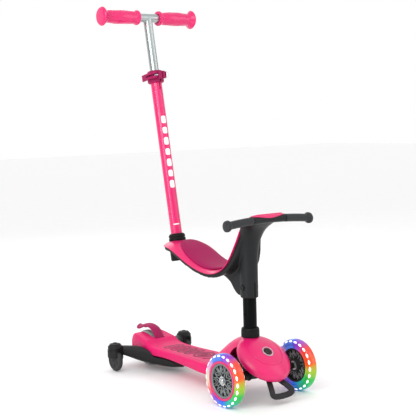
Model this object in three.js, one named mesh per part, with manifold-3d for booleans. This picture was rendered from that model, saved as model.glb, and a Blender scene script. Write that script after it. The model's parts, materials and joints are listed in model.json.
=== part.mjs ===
// A toddler's kick scooter with a seat, a parent's push bar and a pair of side trainer wheels.
// Millimetres, +Z up, the rider looks along -Y. The assembly is drawn from the middle of the front
// axle's floor line and then moved so that the origin lies under the middle of the whole object.
import * as THREE from 'three';
import { mergeVertices } from 'three/addons/utils/BufferGeometryUtils.js';
import Module from 'manifold-3d';

const wasm = await Module();
wasm.setup();

// ---------------------------------------------------------------- driving dimensions
const GAP = 0.3; // between touching pieces
const FAR = 60; // a cutter's reach past whatever it cuts
const RUN = 0.5; // between pieces that move on each other
const FRONT_WHEEL_D = 120;
const FRONT_WHEEL_W = 24;
const FRONT_TRACK = 212;
const REAR_WHEEL_D = 90;
const REAR_WHEEL_W = 24;
const WHEELBASE = 455;
const BEARING_D = 22;
const BEARING_W = 7;
const AXLE_D = 8;

const DECK_TOP = 64; // standing surface above the floor
const AXLE_COVER = 8; // deck below the middle of the rear axle
const DECK_FRONT_HALF = 57;
const DECK_WAIST_HALF = 47;
const DECK_HEEL_HALF = 46;
const DECK_FRONT_Y = 118;
const DECK_TAIL = 38; // deck beyond the rear axle
const CHEEK_RISE = 23; // the deck's rear cheeks above the standing surface

const POST_D = 32;
const POST_Y = 38;
const POST_WALL = 2.2;
const POST_TOP = 270;
const HOOD_TOP = 137;
const HOOD_WALL = 3;
const SADDLE_SHOULDER = 19; // the hood's top on each side of the post
const COLLAR_WALL = 5.5;
const COLLAR_H = 21;
const SHIELD_HALF_W = 64; // the hood's round front shield
const SHIELD_HALF_L = 67;
const SHIELD_DOME = 24;
const SHIELD_TILT = 52; // degrees from upright
const SHIELD_CENTRE = [0, -7, 93];
const BADGE_D = 27;
const LEAN_AXIS_TILT = 45; // degrees of the steering pivot from upright

const COLUMN_D = 41;
const COLUMN_FOOT = 227;
const SEAT_TRAVEL = 45;
const SEAT_HALF_W = 58;
const SEAT_T = 3.2;
const PAD_T = 4.5;
const UNDERSHELL_T = 12;
const BAR_HALF = 123;
const BAR_HEIGHT = 411;
const BAR_Y = -34;
const BAR_GRIP_D = 18;
const BAR_KNOB_D = 25;

const SOCKET_Y = 304;
const SOCKET_Z = 287;
const PUSH_BAR_LEAN = 10.4; // degrees
const SOCKET_D = 44;
const SOCKET_H = 50;
const TUBE_D = 28;
const TUBE_WALL = 2.4;
const TUBE_END = 474; // up the push bar from the socket's foot
const STEM_FIT = 0.6; // round the stem in the tube
const STEM_INSIDE = 174; // length of the silver stem inside the tube at full height
const STEM_TOP = 613;
const CROSS_HALF = 131;
const GRIP_START = 30;
const GRIP_END = 139;
const GRIP_D = 33;
const FLANGE_D = 47;
const CLAMP_H = 30;
const CLAMP_D = 41;

const TRAINER_HALF = 108;
const TRAINER_Y = 448;
const TRAINER_WHEEL_D = 56;
const TRAINER_WHEEL_W = 12;
const TRAINER_LIFT = 1; // trainer wheels above the floor
const TRAINER_TOP = 74;

const ROUND_SIDES = 16;
const SMALL_SIDES = 12;
const BIG_SIDES = 20;

// ---------------------------------------------------------------- values that follow
const FRONT_R = FRONT_WHEEL_D / 2;
const REAR_R = REAR_WHEEL_D / 2;
const TOE_REACH = 74; // the front loop ahead of the front axle
const LIP_REACH = 51; // the brake fender's lip behind the rear axle
const TOE_Y = -TOE_REACH;
const TAIL_Y = WHEELBASE + LIP_REACH;
const STEM_FOOT = TUBE_END - STEM_INSIDE;
const STEM_D = TUBE_D - 2 * (TUBE_WALL + STEM_FIT);
const COLLAR_D = POST_D + 2 * COLLAR_WALL;
const DECK_BOTTOM = REAR_R - AXLE_COVER;
const RAD = Math.PI / 180;

// ---------------------------------------------------------------- materials
function finish(colour, roughness, metalness) {
  return new THREE.MeshStandardMaterial({ color: colour, roughness, metalness });
}
const PINK = finish(0xf02a7b, 0.38, 0);
const MAGENTA = finish(0xa3215a, 0.55, 0);
const BLACK = finish(0x1d1e20, 0.5, 0);
const BLACK_METAL = finish(0x101012, 0.3, 0.6);
const STEEL = finish(0xc9ccd0, 0.25, 1);
const RIM_GREY = finish(0x55606a, 0.35, 0.5);
const CLEAR = finish(0xd8e6f2, 0.12, 0);
const GLOW = finish(0x2fa6e8, 0.3, 0);
const SPOKE = finish(0xaeb9c0, 0.3, 0.8);

// ---------------------------------------------------------------- geometry helpers
function solid(geometry) {
  const bare = geometry.index ? geometry.toNonIndexed() : geometry.clone();
  bare.deleteAttribute('normal');
  bare.deleteAttribute('uv');
  const merged = mergeVertices(bare, 1e-4);
  const place = merged.attributes.position;
  const corners = Array.from(merged.index.array);
  const kept = [];
  let volume = 0;
  const a = new THREE.Vector3();
  const b = new THREE.Vector3();
  const c = new THREE.Vector3();
  for (let i = 0; i < corners.length; i += 3) {
    const [p, q, r] = [corners[i], corners[i + 1], corners[i + 2]];
    if (p === q || q === r || r === p) continue;
    a.fromBufferAttribute(place, p);
    b.fromBufferAttribute(place, q);
    c.fromBufferAttribute(place, r);
    volume += a.dot(b.cross(c));
    kept.push([p, q, r]);
  }
  const triangles = kept.flatMap(([p, q, r]) => (volume > 0 ? [p, q, r] : [p, r, q]));
  const mesh = new wasm.Mesh({
    numProp: 3,
    vertProperties: new Float32Array(place.array),
    triVerts: new Uint32Array(triangles),
  });
  return new wasm.Manifold(mesh);
}

function surface(body) {
  const mesh = body.getMesh();
  const geometry = new THREE.BufferGeometry();
  geometry.setAttribute('position', new THREE.BufferAttribute(new Float32Array(mesh.vertProperties), 3));
  geometry.setIndex(new THREE.BufferAttribute(new Uint32Array(mesh.triVerts), 1));
  return geometry;
}

function joined(bodies) {
  return bodies.reduce((whole, body) => whole.add(body));
}

function cut(body, cutters) {
  return cutters.reduce((rest, cutter) => rest.subtract(cutter), body);
}

function at(geometry, x, y, z) {
  return geometry.translate(x, y, z);
}

// A turned piece about +Z from [radius, height] pairs. Half a step of turn puts a flat at each quarter.
function turned(profile, sides = ROUND_SIDES) {
  const points = profile.map(([r, z]) => new THREE.Vector2(r, z));
  const geometry = new THREE.LatheGeometry(points, sides, Math.PI / sides);
  return geometry.rotateX(Math.PI / 2);
}

function ringProfile(inner, outer, low, high, edge = 0) {
  return [
    [inner, low], [outer - edge, low], [outer, low + edge],
    [outer, high - edge], [outer - edge, high], [inner, high], [inner, low],
  ].filter((point, i, all) => i === 0 || point[0] !== all[i - 1][0] || point[1] !== all[i - 1][1]);
}

function rod(radius, low, high, sides = ROUND_SIDES, edge = 0) {
  const profile = [
    [0, low], [radius - edge, low], [radius, low + edge], [radius, high - edge], [radius - edge, high],
  ];
  const differs = (p, q) => p[0] !== q[0] || p[1] !== q[1];
  const distinct = profile.filter((p, i, all) => i === 0 || differs(p, all[i - 1]));
  return turned([...distinct, [0, high]], sides);
}

function ring(inner, outer, low, high, sides = ROUND_SIDES, edge = 0) {
  return turned(ringProfile(inner, outer, low, high, edge), sides);
}

// Turns a piece drawn along +Z so that it runs along +X.
function acrossX(geometry) {
  return geometry.rotateY(Math.PI / 2);
}

// An outline in (y, z) made into a plate from x = low to x = high.
function plateYZ(outline, low, high) {
  const shape = new THREE.Shape(outline.map((p) => new THREE.Vector2(...p)));
  const geometry = new THREE.ExtrudeGeometry(shape, { depth: high - low, bevelEnabled: false });
  const turn = new THREE.Matrix4().makeBasis(
    new THREE.Vector3(0, 1, 0),
    new THREE.Vector3(0, 0, 1),
    new THREE.Vector3(1, 0, 0),
  );
  return geometry.applyMatrix4(turn).translate(low, 0, 0);
}

function block(x0, x1, y0, y1, z0, z1) {
  const geometry = new THREE.BoxGeometry(x1 - x0, y1 - y0, z1 - z0);
  return at(geometry, (x0 + x1) / 2, (y0 + y1) / 2, (z0 + z1) / 2);
}

// A closed skin through equal rings of points, with flat ends.
function loft(rings) {
  const count = rings[0].length;
  const points = rings.flat();
  const index = [];
  for (let k = 0; k + 1 < rings.length; k += 1) {
    for (let i = 0; i < count; i += 1) {
      const j = (i + 1) % count;
      const [a, b, c, d] = [k * count + i, k * count + j, (k + 1) * count + j, (k + 1) * count + i];
      index.push(a, b, c, a, c, d);
    }
  }
  const capAt = (ringIndex, flip) => {
    const centre = new THREE.Vector3();
    for (const p of rings[ringIndex]) centre.addScaledVector(p, 1 / count);
    const hub = points.push(centre) - 1;
    for (let i = 0; i < count; i += 1) {
      const [a, b] = [ringIndex * count + i, ringIndex * count + ((i + 1) % count)];
      index.push(...(flip ? [hub, b, a] : [hub, a, b]));
    }
  };
  capAt(0, true);
  capAt(rings.length - 1, false);
  const geometry = new THREE.BufferGeometry().setFromPoints(points);
  geometry.setIndex(index);
  return geometry;
}

// A rounded box section across X: half width, floor, top and how square its shoulders are.
function section(y, halfWidth, low, high, squareness = 4, count = 16) {
  const middle = (low + high) / 2;
  const halfHeight = (high - low) / 2;
  return Array.from({ length: count }, (_, i) => {
    const turn = (2 * Math.PI * (i + 0.5)) / count;
    const power = (value) => Math.sign(value) * Math.abs(value) ** (2 / squareness);
    const [across, up] = [power(Math.cos(turn)), power(Math.sin(turn))];
    return new THREE.Vector3(halfWidth * across, y, middle + halfHeight * up);
  });
}

const scooter = new THREE.Group();
scooter.position.y = -(TOE_Y + TAIL_Y) / 2;

function part(name, body, material, parent = scooter) {
  const geometry = body instanceof THREE.BufferGeometry ? surface(solid(body)) : surface(body);
  const mesh = new THREE.Mesh(geometry, material);
  mesh.name = name;
  parent.add(mesh);
  return mesh;
}

// ---------------------------------------------------------------- wheels
// A wheel is drawn about its own centre with its axle along +X and its outer face towards +X.
function tyreProfile(radius, inner, width) {
  const half = width / 2;
  const facet = radius / Math.cos(Math.PI / ROUND_SIDES);
  return [
    [inner, -half], [radius - 7, -half], [facet - 2, -half + 4], [facet, -half + 8],
    [facet, half - 8], [facet - 2, half - 4], [radius - 7, half], [inner, half], [inner, -half],
  ];
}

const HUB_R = BEARING_D / 2 + 4;
const RIM_R = 40;
const LIGHT_R = 46;

function bearingRing(low) {
  return acrossX(ring(AXLE_D / 2 + GAP, BEARING_D / 2, low, low + BEARING_W, SMALL_SIDES));
}

function frontWheel(side, label) {
  const wheel = new THREE.Group();
  wheel.position.set((side * FRONT_TRACK) / 2, 0, FRONT_R);
  wheel.rotation.z = side > 0 ? 0 : Math.PI;
  const add = (name, body, material) => part(`front_${name}_${label}`, body, material, wheel);
  const half = FRONT_WHEEL_W / 2;
  add('tyre', acrossX(turned(tyreProfile(FRONT_R, LIGHT_R + GAP, FRONT_WHEEL_W))), CLEAR);
  add('light_ring', acrossX(ring(RIM_R + GAP, LIGHT_R, -half + 2, half - 3)), GLOW);
  const bore = BEARING_D / 2 + GAP;
  const web = 2.5;
  const rimProfile = [
    [bore, -half + 2], [HUB_R, -half + 2], [HUB_R, -web], [RIM_R - 4, -web], [RIM_R - 4, -half + 2],
    [RIM_R, -half + 2], [RIM_R, half - 3], [RIM_R - 4, half - 3], [RIM_R - 4, web], [HUB_R, web],
    [HUB_R, half - 3], [bore, half - 3], [bore, -half + 2],
  ];
  add('rim', acrossX(turned(rimProfile)), RIM_GREY);
  const arms = 5;
  const spokes = [solid(acrossX(ring(HUB_R + GAP, HUB_R + 4, web + GAP, half - 3)))];
  for (let i = 0; i < arms; i += 1) {
    const arm = block(web + GAP, half - 4, -1.6, 1.6, HUB_R + 2, 29);
    const forkLeft = block(web + GAP, half - 4.5, -1.3, 1.3, 0, 11).rotateX(0.75).translate(0, 0, 27.5);
    const forkRight = block(web + GAP, half - 4.5, -1.3, 1.3, 0, 11).rotateX(-0.75).translate(0, 0, 27.5);
    const turn = (2 * Math.PI * i) / arms;
    spokes.push(...[arm, forkLeft, forkRight].map((piece) => solid(piece.rotateX(turn))));
  }
  const rimInside = solid(acrossX(rod(RIM_R - 4 - GAP, -half, half)));
  add('spokes', joined(spokes).intersect(rimInside), SPOKE);
  add('trim_ring', acrossX(ring(RIM_R - 3, LIGHT_R - 1, half - 3 + GAP, half - 0.6)), PINK);
  const outerFace = half - 3.2;
  const innerFace = -half + 2.2;
  add('bearing_outer', bearingRing(outerFace - BEARING_W), STEEL);
  add('bearing_inner', bearingRing(innerFace), STEEL);
  scooter.add(wheel);
}
frontWheel(-1, 'right');
frontWheel(1, 'left');

function rearWheel() {
  const wheel = new THREE.Group();
  wheel.position.set(0, WHEELBASE, REAR_R);
  const half = REAR_WHEEL_W / 2;
  part('rear_tyre', acrossX(turned(tyreProfile(REAR_R, REAR_R - 12, REAR_WHEEL_W))), CLEAR, wheel);
  const bore = BEARING_D / 2 + GAP;
  const rimR = REAR_R - 12 - GAP;
  const hubProfile = [
    [bore, -half + 1], [HUB_R, -half + 1], [HUB_R, -3], [rimR - 4, -3],
    [rimR - 4, -half + 2], [rimR, -half + 2],
    [rimR, half - 2], [rimR - 4, half - 2], [rimR - 4, 3], [HUB_R, 3], [HUB_R, half - 1], [bore, half - 1],
    [bore, -half + 1],
  ];
  part('rear_rim', acrossX(turned(hubProfile)), RIM_GREY, wheel);
  part('rear_bearing_right', bearingRing(-half + 1.2), STEEL, wheel);
  part('rear_bearing_left', bearingRing(half - 1.2 - BEARING_W), STEEL, wheel);
  scooter.add(wheel);
}
rearWheel();

// ---------------------------------------------------------------- deck
const POCKET_HALF = REAR_WHEEL_W / 2 + 2.5;
const HINGE_Y = WHEELBASE - REAR_R - 1;
const BARREL_OUT = 6;
const FENDER_INNER_R = REAR_R + 6;
const FENDER_OUTER_R = FENDER_INNER_R + 11;
const FENDER_START = 150 * RAD;
const FENDER_END = 62 * RAD;
const FENDER_FRONT = WHEELBASE + FENDER_OUTER_R * Math.cos(FENDER_START);
const POCKET_FRONT = Math.min(HINGE_Y - BARREL_OUT, FENDER_FRONT) - 2 * RUN;
const HINGE_Z = DECK_TOP + 9;
const HINGE_PIN_R = 2.5;
const FENDER_HALF = POCKET_HALF - 1.2;

function deckBody(inset, top, bottom) {
  const tail = WHEELBASE + DECK_TAIL;
  const rings = [
    [DECK_FRONT_Y, DECK_FRONT_HALF - 8, DECK_TOP - 6],
    [DECK_FRONT_Y + 22, DECK_FRONT_HALF, DECK_TOP - 1],
    [DECK_FRONT_Y + 70, DECK_FRONT_HALF - 3, DECK_TOP],
    [(DECK_FRONT_Y + WHEELBASE) / 2, DECK_WAIST_HALF, DECK_TOP],
    [WHEELBASE - 90, DECK_WAIST_HALF + 1, DECK_TOP + 1],
    [WHEELBASE - 50, DECK_HEEL_HALF + 2, DECK_TOP + 7],
    [WHEELBASE - 25, DECK_HEEL_HALF, DECK_TOP + CHEEK_RISE - 7],
    [WHEELBASE, DECK_HEEL_HALF - 3, DECK_TOP + CHEEK_RISE],
    [WHEELBASE + 18, DECK_HEEL_HALF - 7, DECK_TOP + CHEEK_RISE - 8],
    [tail - 5, DECK_HEEL_HALF - 14, DECK_TOP - 6],
    [tail, DECK_HEEL_HALF - 17, DECK_TOP - 14],
  ];
  return loft(rings.map(([y, w, z]) => section(y, w - inset, DECK_BOTTOM + bottom, z - top, 5)));
}

function deck() {
  const wide = 200;
  const pocket = solid(block(-POCKET_HALF, POCKET_HALF, POCKET_FRONT, TAIL_Y + 20, -1, wide));
  const round = solid(acrossX(rod(AXLE_D / 2 + GAP, -wide, wide)).translate(0, WHEELBASE, REAR_R));
  const pinHole = solid(acrossX(rod(HINGE_PIN_R + GAP, -POCKET_HALF - 12, POCKET_HALF + 12, SMALL_SIDES))
    .translate(0, HINGE_Y, HINGE_Z));
  const belly = solid(loft([
    section(DECK_FRONT_Y + 60, DECK_WAIST_HALF - 12, DECK_BOTTOM - 9, DECK_BOTTOM + 9, 6),
    section(POCKET_FRONT - 150, DECK_WAIST_HALF - 12, DECK_BOTTOM - 9, DECK_BOTTOM + 9, 6),
  ]));
  const gripBed = solid(gripOutline(GAP, DECK_TOP - GRIP_SINK - GAP, DECK_TOP + 20));
  part('deck', cut(solid(deckBody(0, 0, 0)), [pocket, round, pinHole, belly, gripBed]), PINK);
}

const GRIP_SINK = 1.2;
const GRIP_PROUD = 0.8;
const GRIP_FRONT = DECK_FRONT_Y + 52;
const GRIP_BACK = WHEELBASE - 100;
const GRIP_HALF = DECK_WAIST_HALF - 17;

function gripOutline(grow, low, high) {
  const shape = new THREE.Shape();
  const half = GRIP_HALF + grow;
  const front = GRIP_FRONT - grow;
  const back = GRIP_BACK + grow;
  const nose = 16;
  shape.moveTo(-half + nose, front);
  shape.lineTo(half - nose, front);
  shape.quadraticCurveTo(half, front, half, front + nose);
  shape.lineTo(half, back - nose);
  shape.quadraticCurveTo(half, back, half - nose, back);
  shape.lineTo(-half + nose, back);
  shape.quadraticCurveTo(-half, back, -half, back - nose);
  shape.lineTo(-half, front + nose);
  shape.quadraticCurveTo(-half, front, -half + nose, front);
  const options = { depth: high - low, bevelEnabled: false, curveSegments: 4 };
  const geometry = new THREE.ExtrudeGeometry(shape, options);
  return geometry.translate(0, 0, low);
}

deck();
part('deck_grip', gripOutline(0, DECK_TOP - GRIP_SINK, DECK_TOP + GRIP_PROUD), MAGENTA);

const AXLE_REACH = DECK_HEEL_HALF - 2;
part('rear_axle', joined([
  solid(acrossX(rod(AXLE_D / 2, -AXLE_REACH, AXLE_REACH + 6, SMALL_SIDES))
    .translate(0, WHEELBASE, REAR_R)),
  solid(acrossX(rod(7, -AXLE_REACH - 5, -AXLE_REACH, 6)).translate(0, WHEELBASE, REAR_R)),
]), STEEL);
const nutBore = (AXLE_D / 2 + GAP) / Math.cos(Math.PI / 6);
part('rear_axle_nut', acrossX(ring(nutBore, 7.5, AXLE_REACH, AXLE_REACH + 5, 6))
  .translate(0, WHEELBASE, REAR_R), STEEL);
part('brake_pin', acrossX(rod(HINGE_PIN_R, -POCKET_HALF - 10, POCKET_HALF + 10, SMALL_SIDES))
  .translate(0, HINGE_Y, HINGE_Z), STEEL);

// The brake fender: an arched shell over the rear wheel with a pressing lip at its back.
function brakeFender() {
  const rise = (turn, radius) => [WHEELBASE + radius * Math.cos(turn), REAR_R + radius * Math.sin(turn)];
  const steps = 10;
  const over = [];
  const under = [];
  for (let i = 0; i <= steps; i += 1) {
    const turn = FENDER_START + ((FENDER_END - FENDER_START) * i) / steps;
    over.push(rise(turn, FENDER_OUTER_R - 3 * (i / steps)));
    under.push(rise(turn, FENDER_INNER_R + 3 * (i / steps)));
  }
  const lip = [[WHEELBASE + LIP_REACH - 1, REAR_R + 52], [WHEELBASE + LIP_REACH, REAR_R + 47]];
  const outline = [...over, ...lip, ...under.reverse()];
  const arch = solid(plateYZ(outline, -FENDER_HALF, FENDER_HALF));
  const onHinge = (radius, half) => solid(acrossX(rod(radius, -half, half, SMALL_SIDES))
    .translate(0, HINGE_Y, HINGE_Z));
  const barrel = onHinge(BARREL_OUT, FENDER_HALF);
  const pinHole = onHinge(HINGE_PIN_R + GAP, FAR);
  const tyreRoom = solid(acrossX(rod(REAR_R + 4.8, -60, 60)).translate(0, WHEELBASE, REAR_R));
  part('brake_fender', cut(joined([arch, barrel]), [pinHole, tyreRoom]), MAGENTA);
}
brakeFender();

// ---------------------------------------------------------------- hood, post and steering
function shieldDome(inset, depth) {
  const steps = 6;
  const profile = [];
  for (let i = 0; i <= steps; i += 1) {
    const turn = (Math.PI / 2) * (i / steps);
    profile.push([Math.cos(turn) * 1, Math.sin(turn)]);
  }
  const unit = [[0, -1], [1, -1], ...profile.slice(0, -1), [0, 1]];
  const points = unit.map(([r, h]) => [r, h < 0 ? -depth : h * (SHIELD_DOME - inset)]);
  const geometry = turned(points.map(([r, h]) => [r, h]), BIG_SIDES);
  geometry.scale(SHIELD_HALF_W - inset, SHIELD_HALF_L - inset, 1);
  return geometry.rotateX((90 - SHIELD_TILT) * RAD).translate(...SHIELD_CENTRE);
}

function saddle(inset, low) {
  const crest = POST_D / 2 + SADDLE_SHOULDER;
  const rings = [
    [inset > 0 ? -9 : -8, 26, HOOD_TOP - 34], [14, crest - 3, HOOD_TOP - 12], [POST_Y, crest, HOOD_TOP - 1],
    [62, crest + 1, HOOD_TOP - 1], [84, crest, HOOD_TOP - 11], [104, crest + 1, HOOD_TOP - 26],
    [124, 38, HOOD_TOP - 43],
    [142, 41, DECK_TOP + 14], [158, 43, DECK_TOP + 3],
  ];
  const inner = inset > 0;
  return loft(rings.map(([y, w, z], i) => {
    const end = inner && i === rings.length - 1 ? -inset - 4 : 0;
    return section(y + end, w - inset, low, z - inset, 3.2);
  }));
}

const shieldTurn = new THREE.Matrix4().makeRotationX((90 - SHIELD_TILT) * RAD);
const shieldNormal = new THREE.Vector3(0, 0, 1).applyMatrix4(shieldTurn);
const badgeCentre = new THREE.Vector3(...SHIELD_CENTRE).addScaledVector(shieldNormal, SHIELD_DOME - 0.4);

function onShield(geometry) {
  return geometry.applyMatrix4(shieldTurn).translate(badgeCentre.x, badgeCentre.y, badgeCentre.z);
}

function hood() {
  const floorCut = solid(block(-90, 90, -120, 240, -60, DECK_TOP + GAP));
  const outer = joined([solid(shieldDome(0, 6)), cut(solid(saddle(0, 20)), [floorCut])]);
  const inner = joined([solid(shieldDome(HOOD_WALL, 60)), solid(saddle(HOOD_WALL, -20))]);
  const postHole = solid(rod(POST_D / 2 + RUN, 60, 200).translate(0, POST_Y, 0));
  const collarSeat = solid(rod(COLLAR_D / 2 + 3, HOOD_TOP - GAP, 240).translate(0, POST_Y, 0));
  const arch = solid(plateYZ([
    [-30, 20], [8, 90], [26, 112], [44, 118], [60, 112], [76, 92], [86, 60], [88, 20],
  ], -90, 90));
  const badgeHole = solid(onShield(rod(BADGE_D / 2 + GAP, -20, 20)));
  const deckRoom = solid(deckBody(-GAP, -GAP, -GAP));
  part('hood', cut(outer, [inner, postHole, collarSeat, arch, badgeHole, deckRoom]), PINK);
}
hood();

part('badge_ring', onShield(ring(BADGE_D / 2 - 3.4, BADGE_D / 2, -4, 1, ROUND_SIDES)), STEEL);
part('lock_button', onShield(rod(BADGE_D / 2 - 3.4 - RUN, -5, 2.4, ROUND_SIDES, 1)), BLACK);
part('post_collar', turned([
  [POST_D / 2 + GAP, HOOD_TOP], [COLLAR_D / 2, HOOD_TOP], [COLLAR_D / 2, HOOD_TOP + COLLAR_H - 5],
  [COLLAR_D / 2 - 1.4, HOOD_TOP + COLLAR_H - 3], [COLLAR_D / 2 - 2, HOOD_TOP + COLLAR_H],
  [POST_D / 2 + GAP, HOOD_TOP + COLLAR_H], [POST_D / 2 + GAP, HOOD_TOP],
]).translate(0, POST_Y, 0), BLACK);

const HOUSING_TOP = 104;
const HOUSING_FOOT = 40;
const POST_SINK = 34 - POST_D / 2; // a wider post stops higher, clear of the truck's barrel
function post() {
  const tube = solid(ring(POST_D / 2 - POST_WALL, POST_D / 2, HOUSING_TOP - POST_SINK, POST_TOP)
    .translate(0, POST_Y, 0));
  const pinHole = solid(acrossX(rod(2.4, -40, 40, 8)).translate(0, POST_Y, HOOD_TOP + COLLAR_H + 31));
  part('post', cut(tube, [pinHole]), BLACK_METAL);
}
post();

// The steering pivot leans forward, so the front truck turns into the bend that the rider leans into.
const PIVOT = [0, -2, FRONT_R + 24];
const pivotTurn = new THREE.Matrix4().makeRotationX(LEAN_AXIS_TILT * RAD);
function onPivot(geometry) {
  return geometry.applyMatrix4(pivotTurn).translate(...PIVOT);
}
const KINGPIN_R = 5;
const KINGPIN_FOOT = -33;
const BARREL_R = 17;
const CUSHION_T = 5;

function steeringHousing() {
  const body = solid(loft([
    section(-24, 16, 84, 100, 3.5),
    section(-10, 21, 70, HOUSING_TOP, 3.5),
    section(10, 24, 60, HOUSING_TOP + 2, 3.5),
    section(POST_Y, 25, HOUSING_FOOT + 4, HOUSING_TOP, 3.5),
    section(POST_Y + 34, 26, HOUSING_FOOT, HOUSING_TOP - 12, 3.5),
    section(DECK_FRONT_Y - GAP, 30, HOUSING_FOOT, DECK_TOP - 9, 3.5),
  ]));
  const barrelRoom = solid(onPivot(rod(BARREL_R + 3, -90, CUSHION_T / 2 + GAP)));
  const armRoom = solid(acrossX(rod(20, -60, 60)).translate(0, 5, FRONT_R));
  const postBore = solid(rod(POST_D / 2 + GAP, HOUSING_TOP - POST_SINK - GAP, 200)
    .translate(0, POST_Y, 0));
  const pinBore = solid(onPivot(rod(KINGPIN_R + GAP, -60, 16, SMALL_SIDES)));
  part('steering_housing', cut(body, [barrelRoom, armRoom, postBore, pinBore]), BLACK);
}
steeringHousing();
part('kingpin', joined([
  solid(onPivot(rod(KINGPIN_R, KINGPIN_FOOT - 1, 15, SMALL_SIDES))),
  solid(onPivot(rod(9, KINGPIN_FOOT - 5, KINGPIN_FOOT, 6))),
]), STEEL);
part('steering_cushion', onPivot(
  ring(KINGPIN_R + GAP, 13, -CUSHION_T / 2, CUSHION_T / 2, SMALL_SIDES),
), BLACK);

const AXLE_HALF = FRONT_TRACK / 2 - FRONT_WHEEL_W / 2 - 1;
function frontTruck() {
  const barrel = solid(onPivot(rod(BARREL_R, KINGPIN_FOOT + GAP, -CUSHION_T / 2 - GAP)));
  const axleBore = solid(acrossX(rod(AXLE_D / 2 + GAP, -150, 150, SMALL_SIDES)).translate(0, 0, FRONT_R));
  const pinBore = solid(onPivot(rod(KINGPIN_R + GAP, -60, 30, SMALL_SIDES)));
  const headRoom = solid(onPivot(rod(11, -90, KINGPIN_FOOT + GAP, SMALL_SIDES)));
  const arms = solid(loft(armRings()));
  part('front_truck', cut(joined([barrel, arms]), [axleBore, pinBore, headRoom]), BLACK);
}
function armRings() {
  const stations = [
    [-AXLE_HALF, 8], [-AXLE_HALF * 0.7, 9], [-26, 13], [0, 15],
    [26, 13], [AXLE_HALF * 0.7, 9], [AXLE_HALF, 8],
  ];
  const sides = 10;
  return stations.map(([x, r]) => Array.from({ length: sides }, (_, i) => {
    const turn = (2 * Math.PI * (i + 0.5)) / sides;
    const back = Math.max(0, r - 9) * 1.4;
    return new THREE.Vector3(x, back + r * Math.cos(turn), FRONT_R + r * Math.sin(turn));
  }));
}
frontTruck();

const AXLE_OUT = FRONT_TRACK / 2 + FRONT_WHEEL_W / 2 - 2;
part('front_axle', acrossX(rod(AXLE_D / 2, -AXLE_OUT, AXLE_OUT, SMALL_SIDES))
  .translate(0, 0, FRONT_R), STEEL);
[['right', -1], ['left', 1]].forEach(([label, side]) => {
  const capProfile = [[0, 0], [7, 0], [7, 1.6], [5.6, 3], [3, 3], [2.6, 1.6], [0, 1.6]];
  const cap = acrossX(turned(capProfile, SMALL_SIDES));
  if (side < 0) cap.rotateZ(Math.PI);
  part(`front_bolt_${label}`, cap.translate(side * (AXLE_OUT + GAP), 0, FRONT_R), STEEL);
});

// The front loop: a bent triangular ring under the hood that meets a kerb before the wheels do.
const LOOP_HALF = 30;
const LOOP_BAND = 5.5;
const LOOP_NOSE = TOE_REACH - LOOP_BAND * 0.73; // the band slopes back where it reaches furthest
function frontLoop() {
  const half = [
    [7, -30, 56], [17, -44, 47], [LOOP_HALF, -LOOP_NOSE + 2, 31],
    [LOOP_HALF - 6, -LOOP_NOSE, 22], [10, -LOOP_NOSE + 3, 18],
  ];
  const points = [...half, ...half.slice().reverse().map(([x, y, z]) => [-x, y, z])];
  const path = points.map((p) => new THREE.Vector3(...p));
  const ringBody = solid(ringSweep(path, LOOP_BAND, 4, 26, 6));
  const stalk = solid(plateYZ([
    [-42, 46], [-27, 46], [-24 - GAP, 78], [-24 - GAP, 95], [-28, 95], [-32, 84], [-38, 66],
  ], -11, 11));
  const shield = cut(solid(shieldDome(-GAP, 6)), [solid(shieldDome(HOOD_WALL + GAP, 60))]);
  part('front_loop', cut(joined([ringBody, stalk]), [shield]), BLACK);
}

// A closed ring of oval section along a closed path.
function ringSweep(points, halfWide, halfThick, steps, sides) {
  const path = new THREE.CatmullRomCurve3(points, true, 'centripetal');
  const rings = [];
  const middle = path.getPoints(steps).slice(0, steps);
  const centre = middle.reduce((sum, p) => sum.add(p), new THREE.Vector3()).divideScalar(steps);
  middle.forEach((p, i) => {
    const along = middle[(i + 1) % steps].clone().sub(middle[(i + steps - 1) % steps]).normalize();
    const out = p.clone().sub(centre);
    out.addScaledVector(along, -out.dot(along)).normalize();
    const up = new THREE.Vector3().crossVectors(along, out);
    rings.push(Array.from({ length: sides }, (_, k) => {
      const turn = (2 * Math.PI * (k + 0.5)) / sides;
      const moved = p.clone().addScaledVector(out, halfWide * Math.cos(turn));
      return moved.addScaledVector(up, halfThick * Math.sin(turn));
    }));
  });
  const index = [];
  for (let k = 0; k < steps; k += 1) {
    for (let i = 0; i < sides; i += 1) {
      const [j, next] = [(i + 1) % sides, ((k + 1) % steps) * sides];
      const [a, b, c, d] = [k * sides + i, k * sides + j, next + j, next + i];
      index.push(a, b, c, a, c, d);
    }
  }
  const geometry = new THREE.BufferGeometry().setFromPoints(rings.flat());
  geometry.setIndex(index);
  return geometry;
}
frontLoop();

// ---------------------------------------------------------------- trainer wheels at the back
const TRAINER_R = TRAINER_WHEEL_D / 2;
const TRAINER_AXLE_Z = TRAINER_R + TRAINER_LIFT;
const TRAINER_SLOT = TRAINER_WHEEL_W / 2 + 1.2;
const HEAD_R = 20;

// A rounded box section across the beam at one x, given its back-to-front and floor-to-top spans.
function beamSection(x, y0, y1, z0, z1, squareness = 3.2, count = 12) {
  return section(0, (y1 - y0) / 2, z0, z1, squareness, count)
    .map((p) => new THREE.Vector3(x, (y0 + y1) / 2 + p.x, p.z));
}

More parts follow.
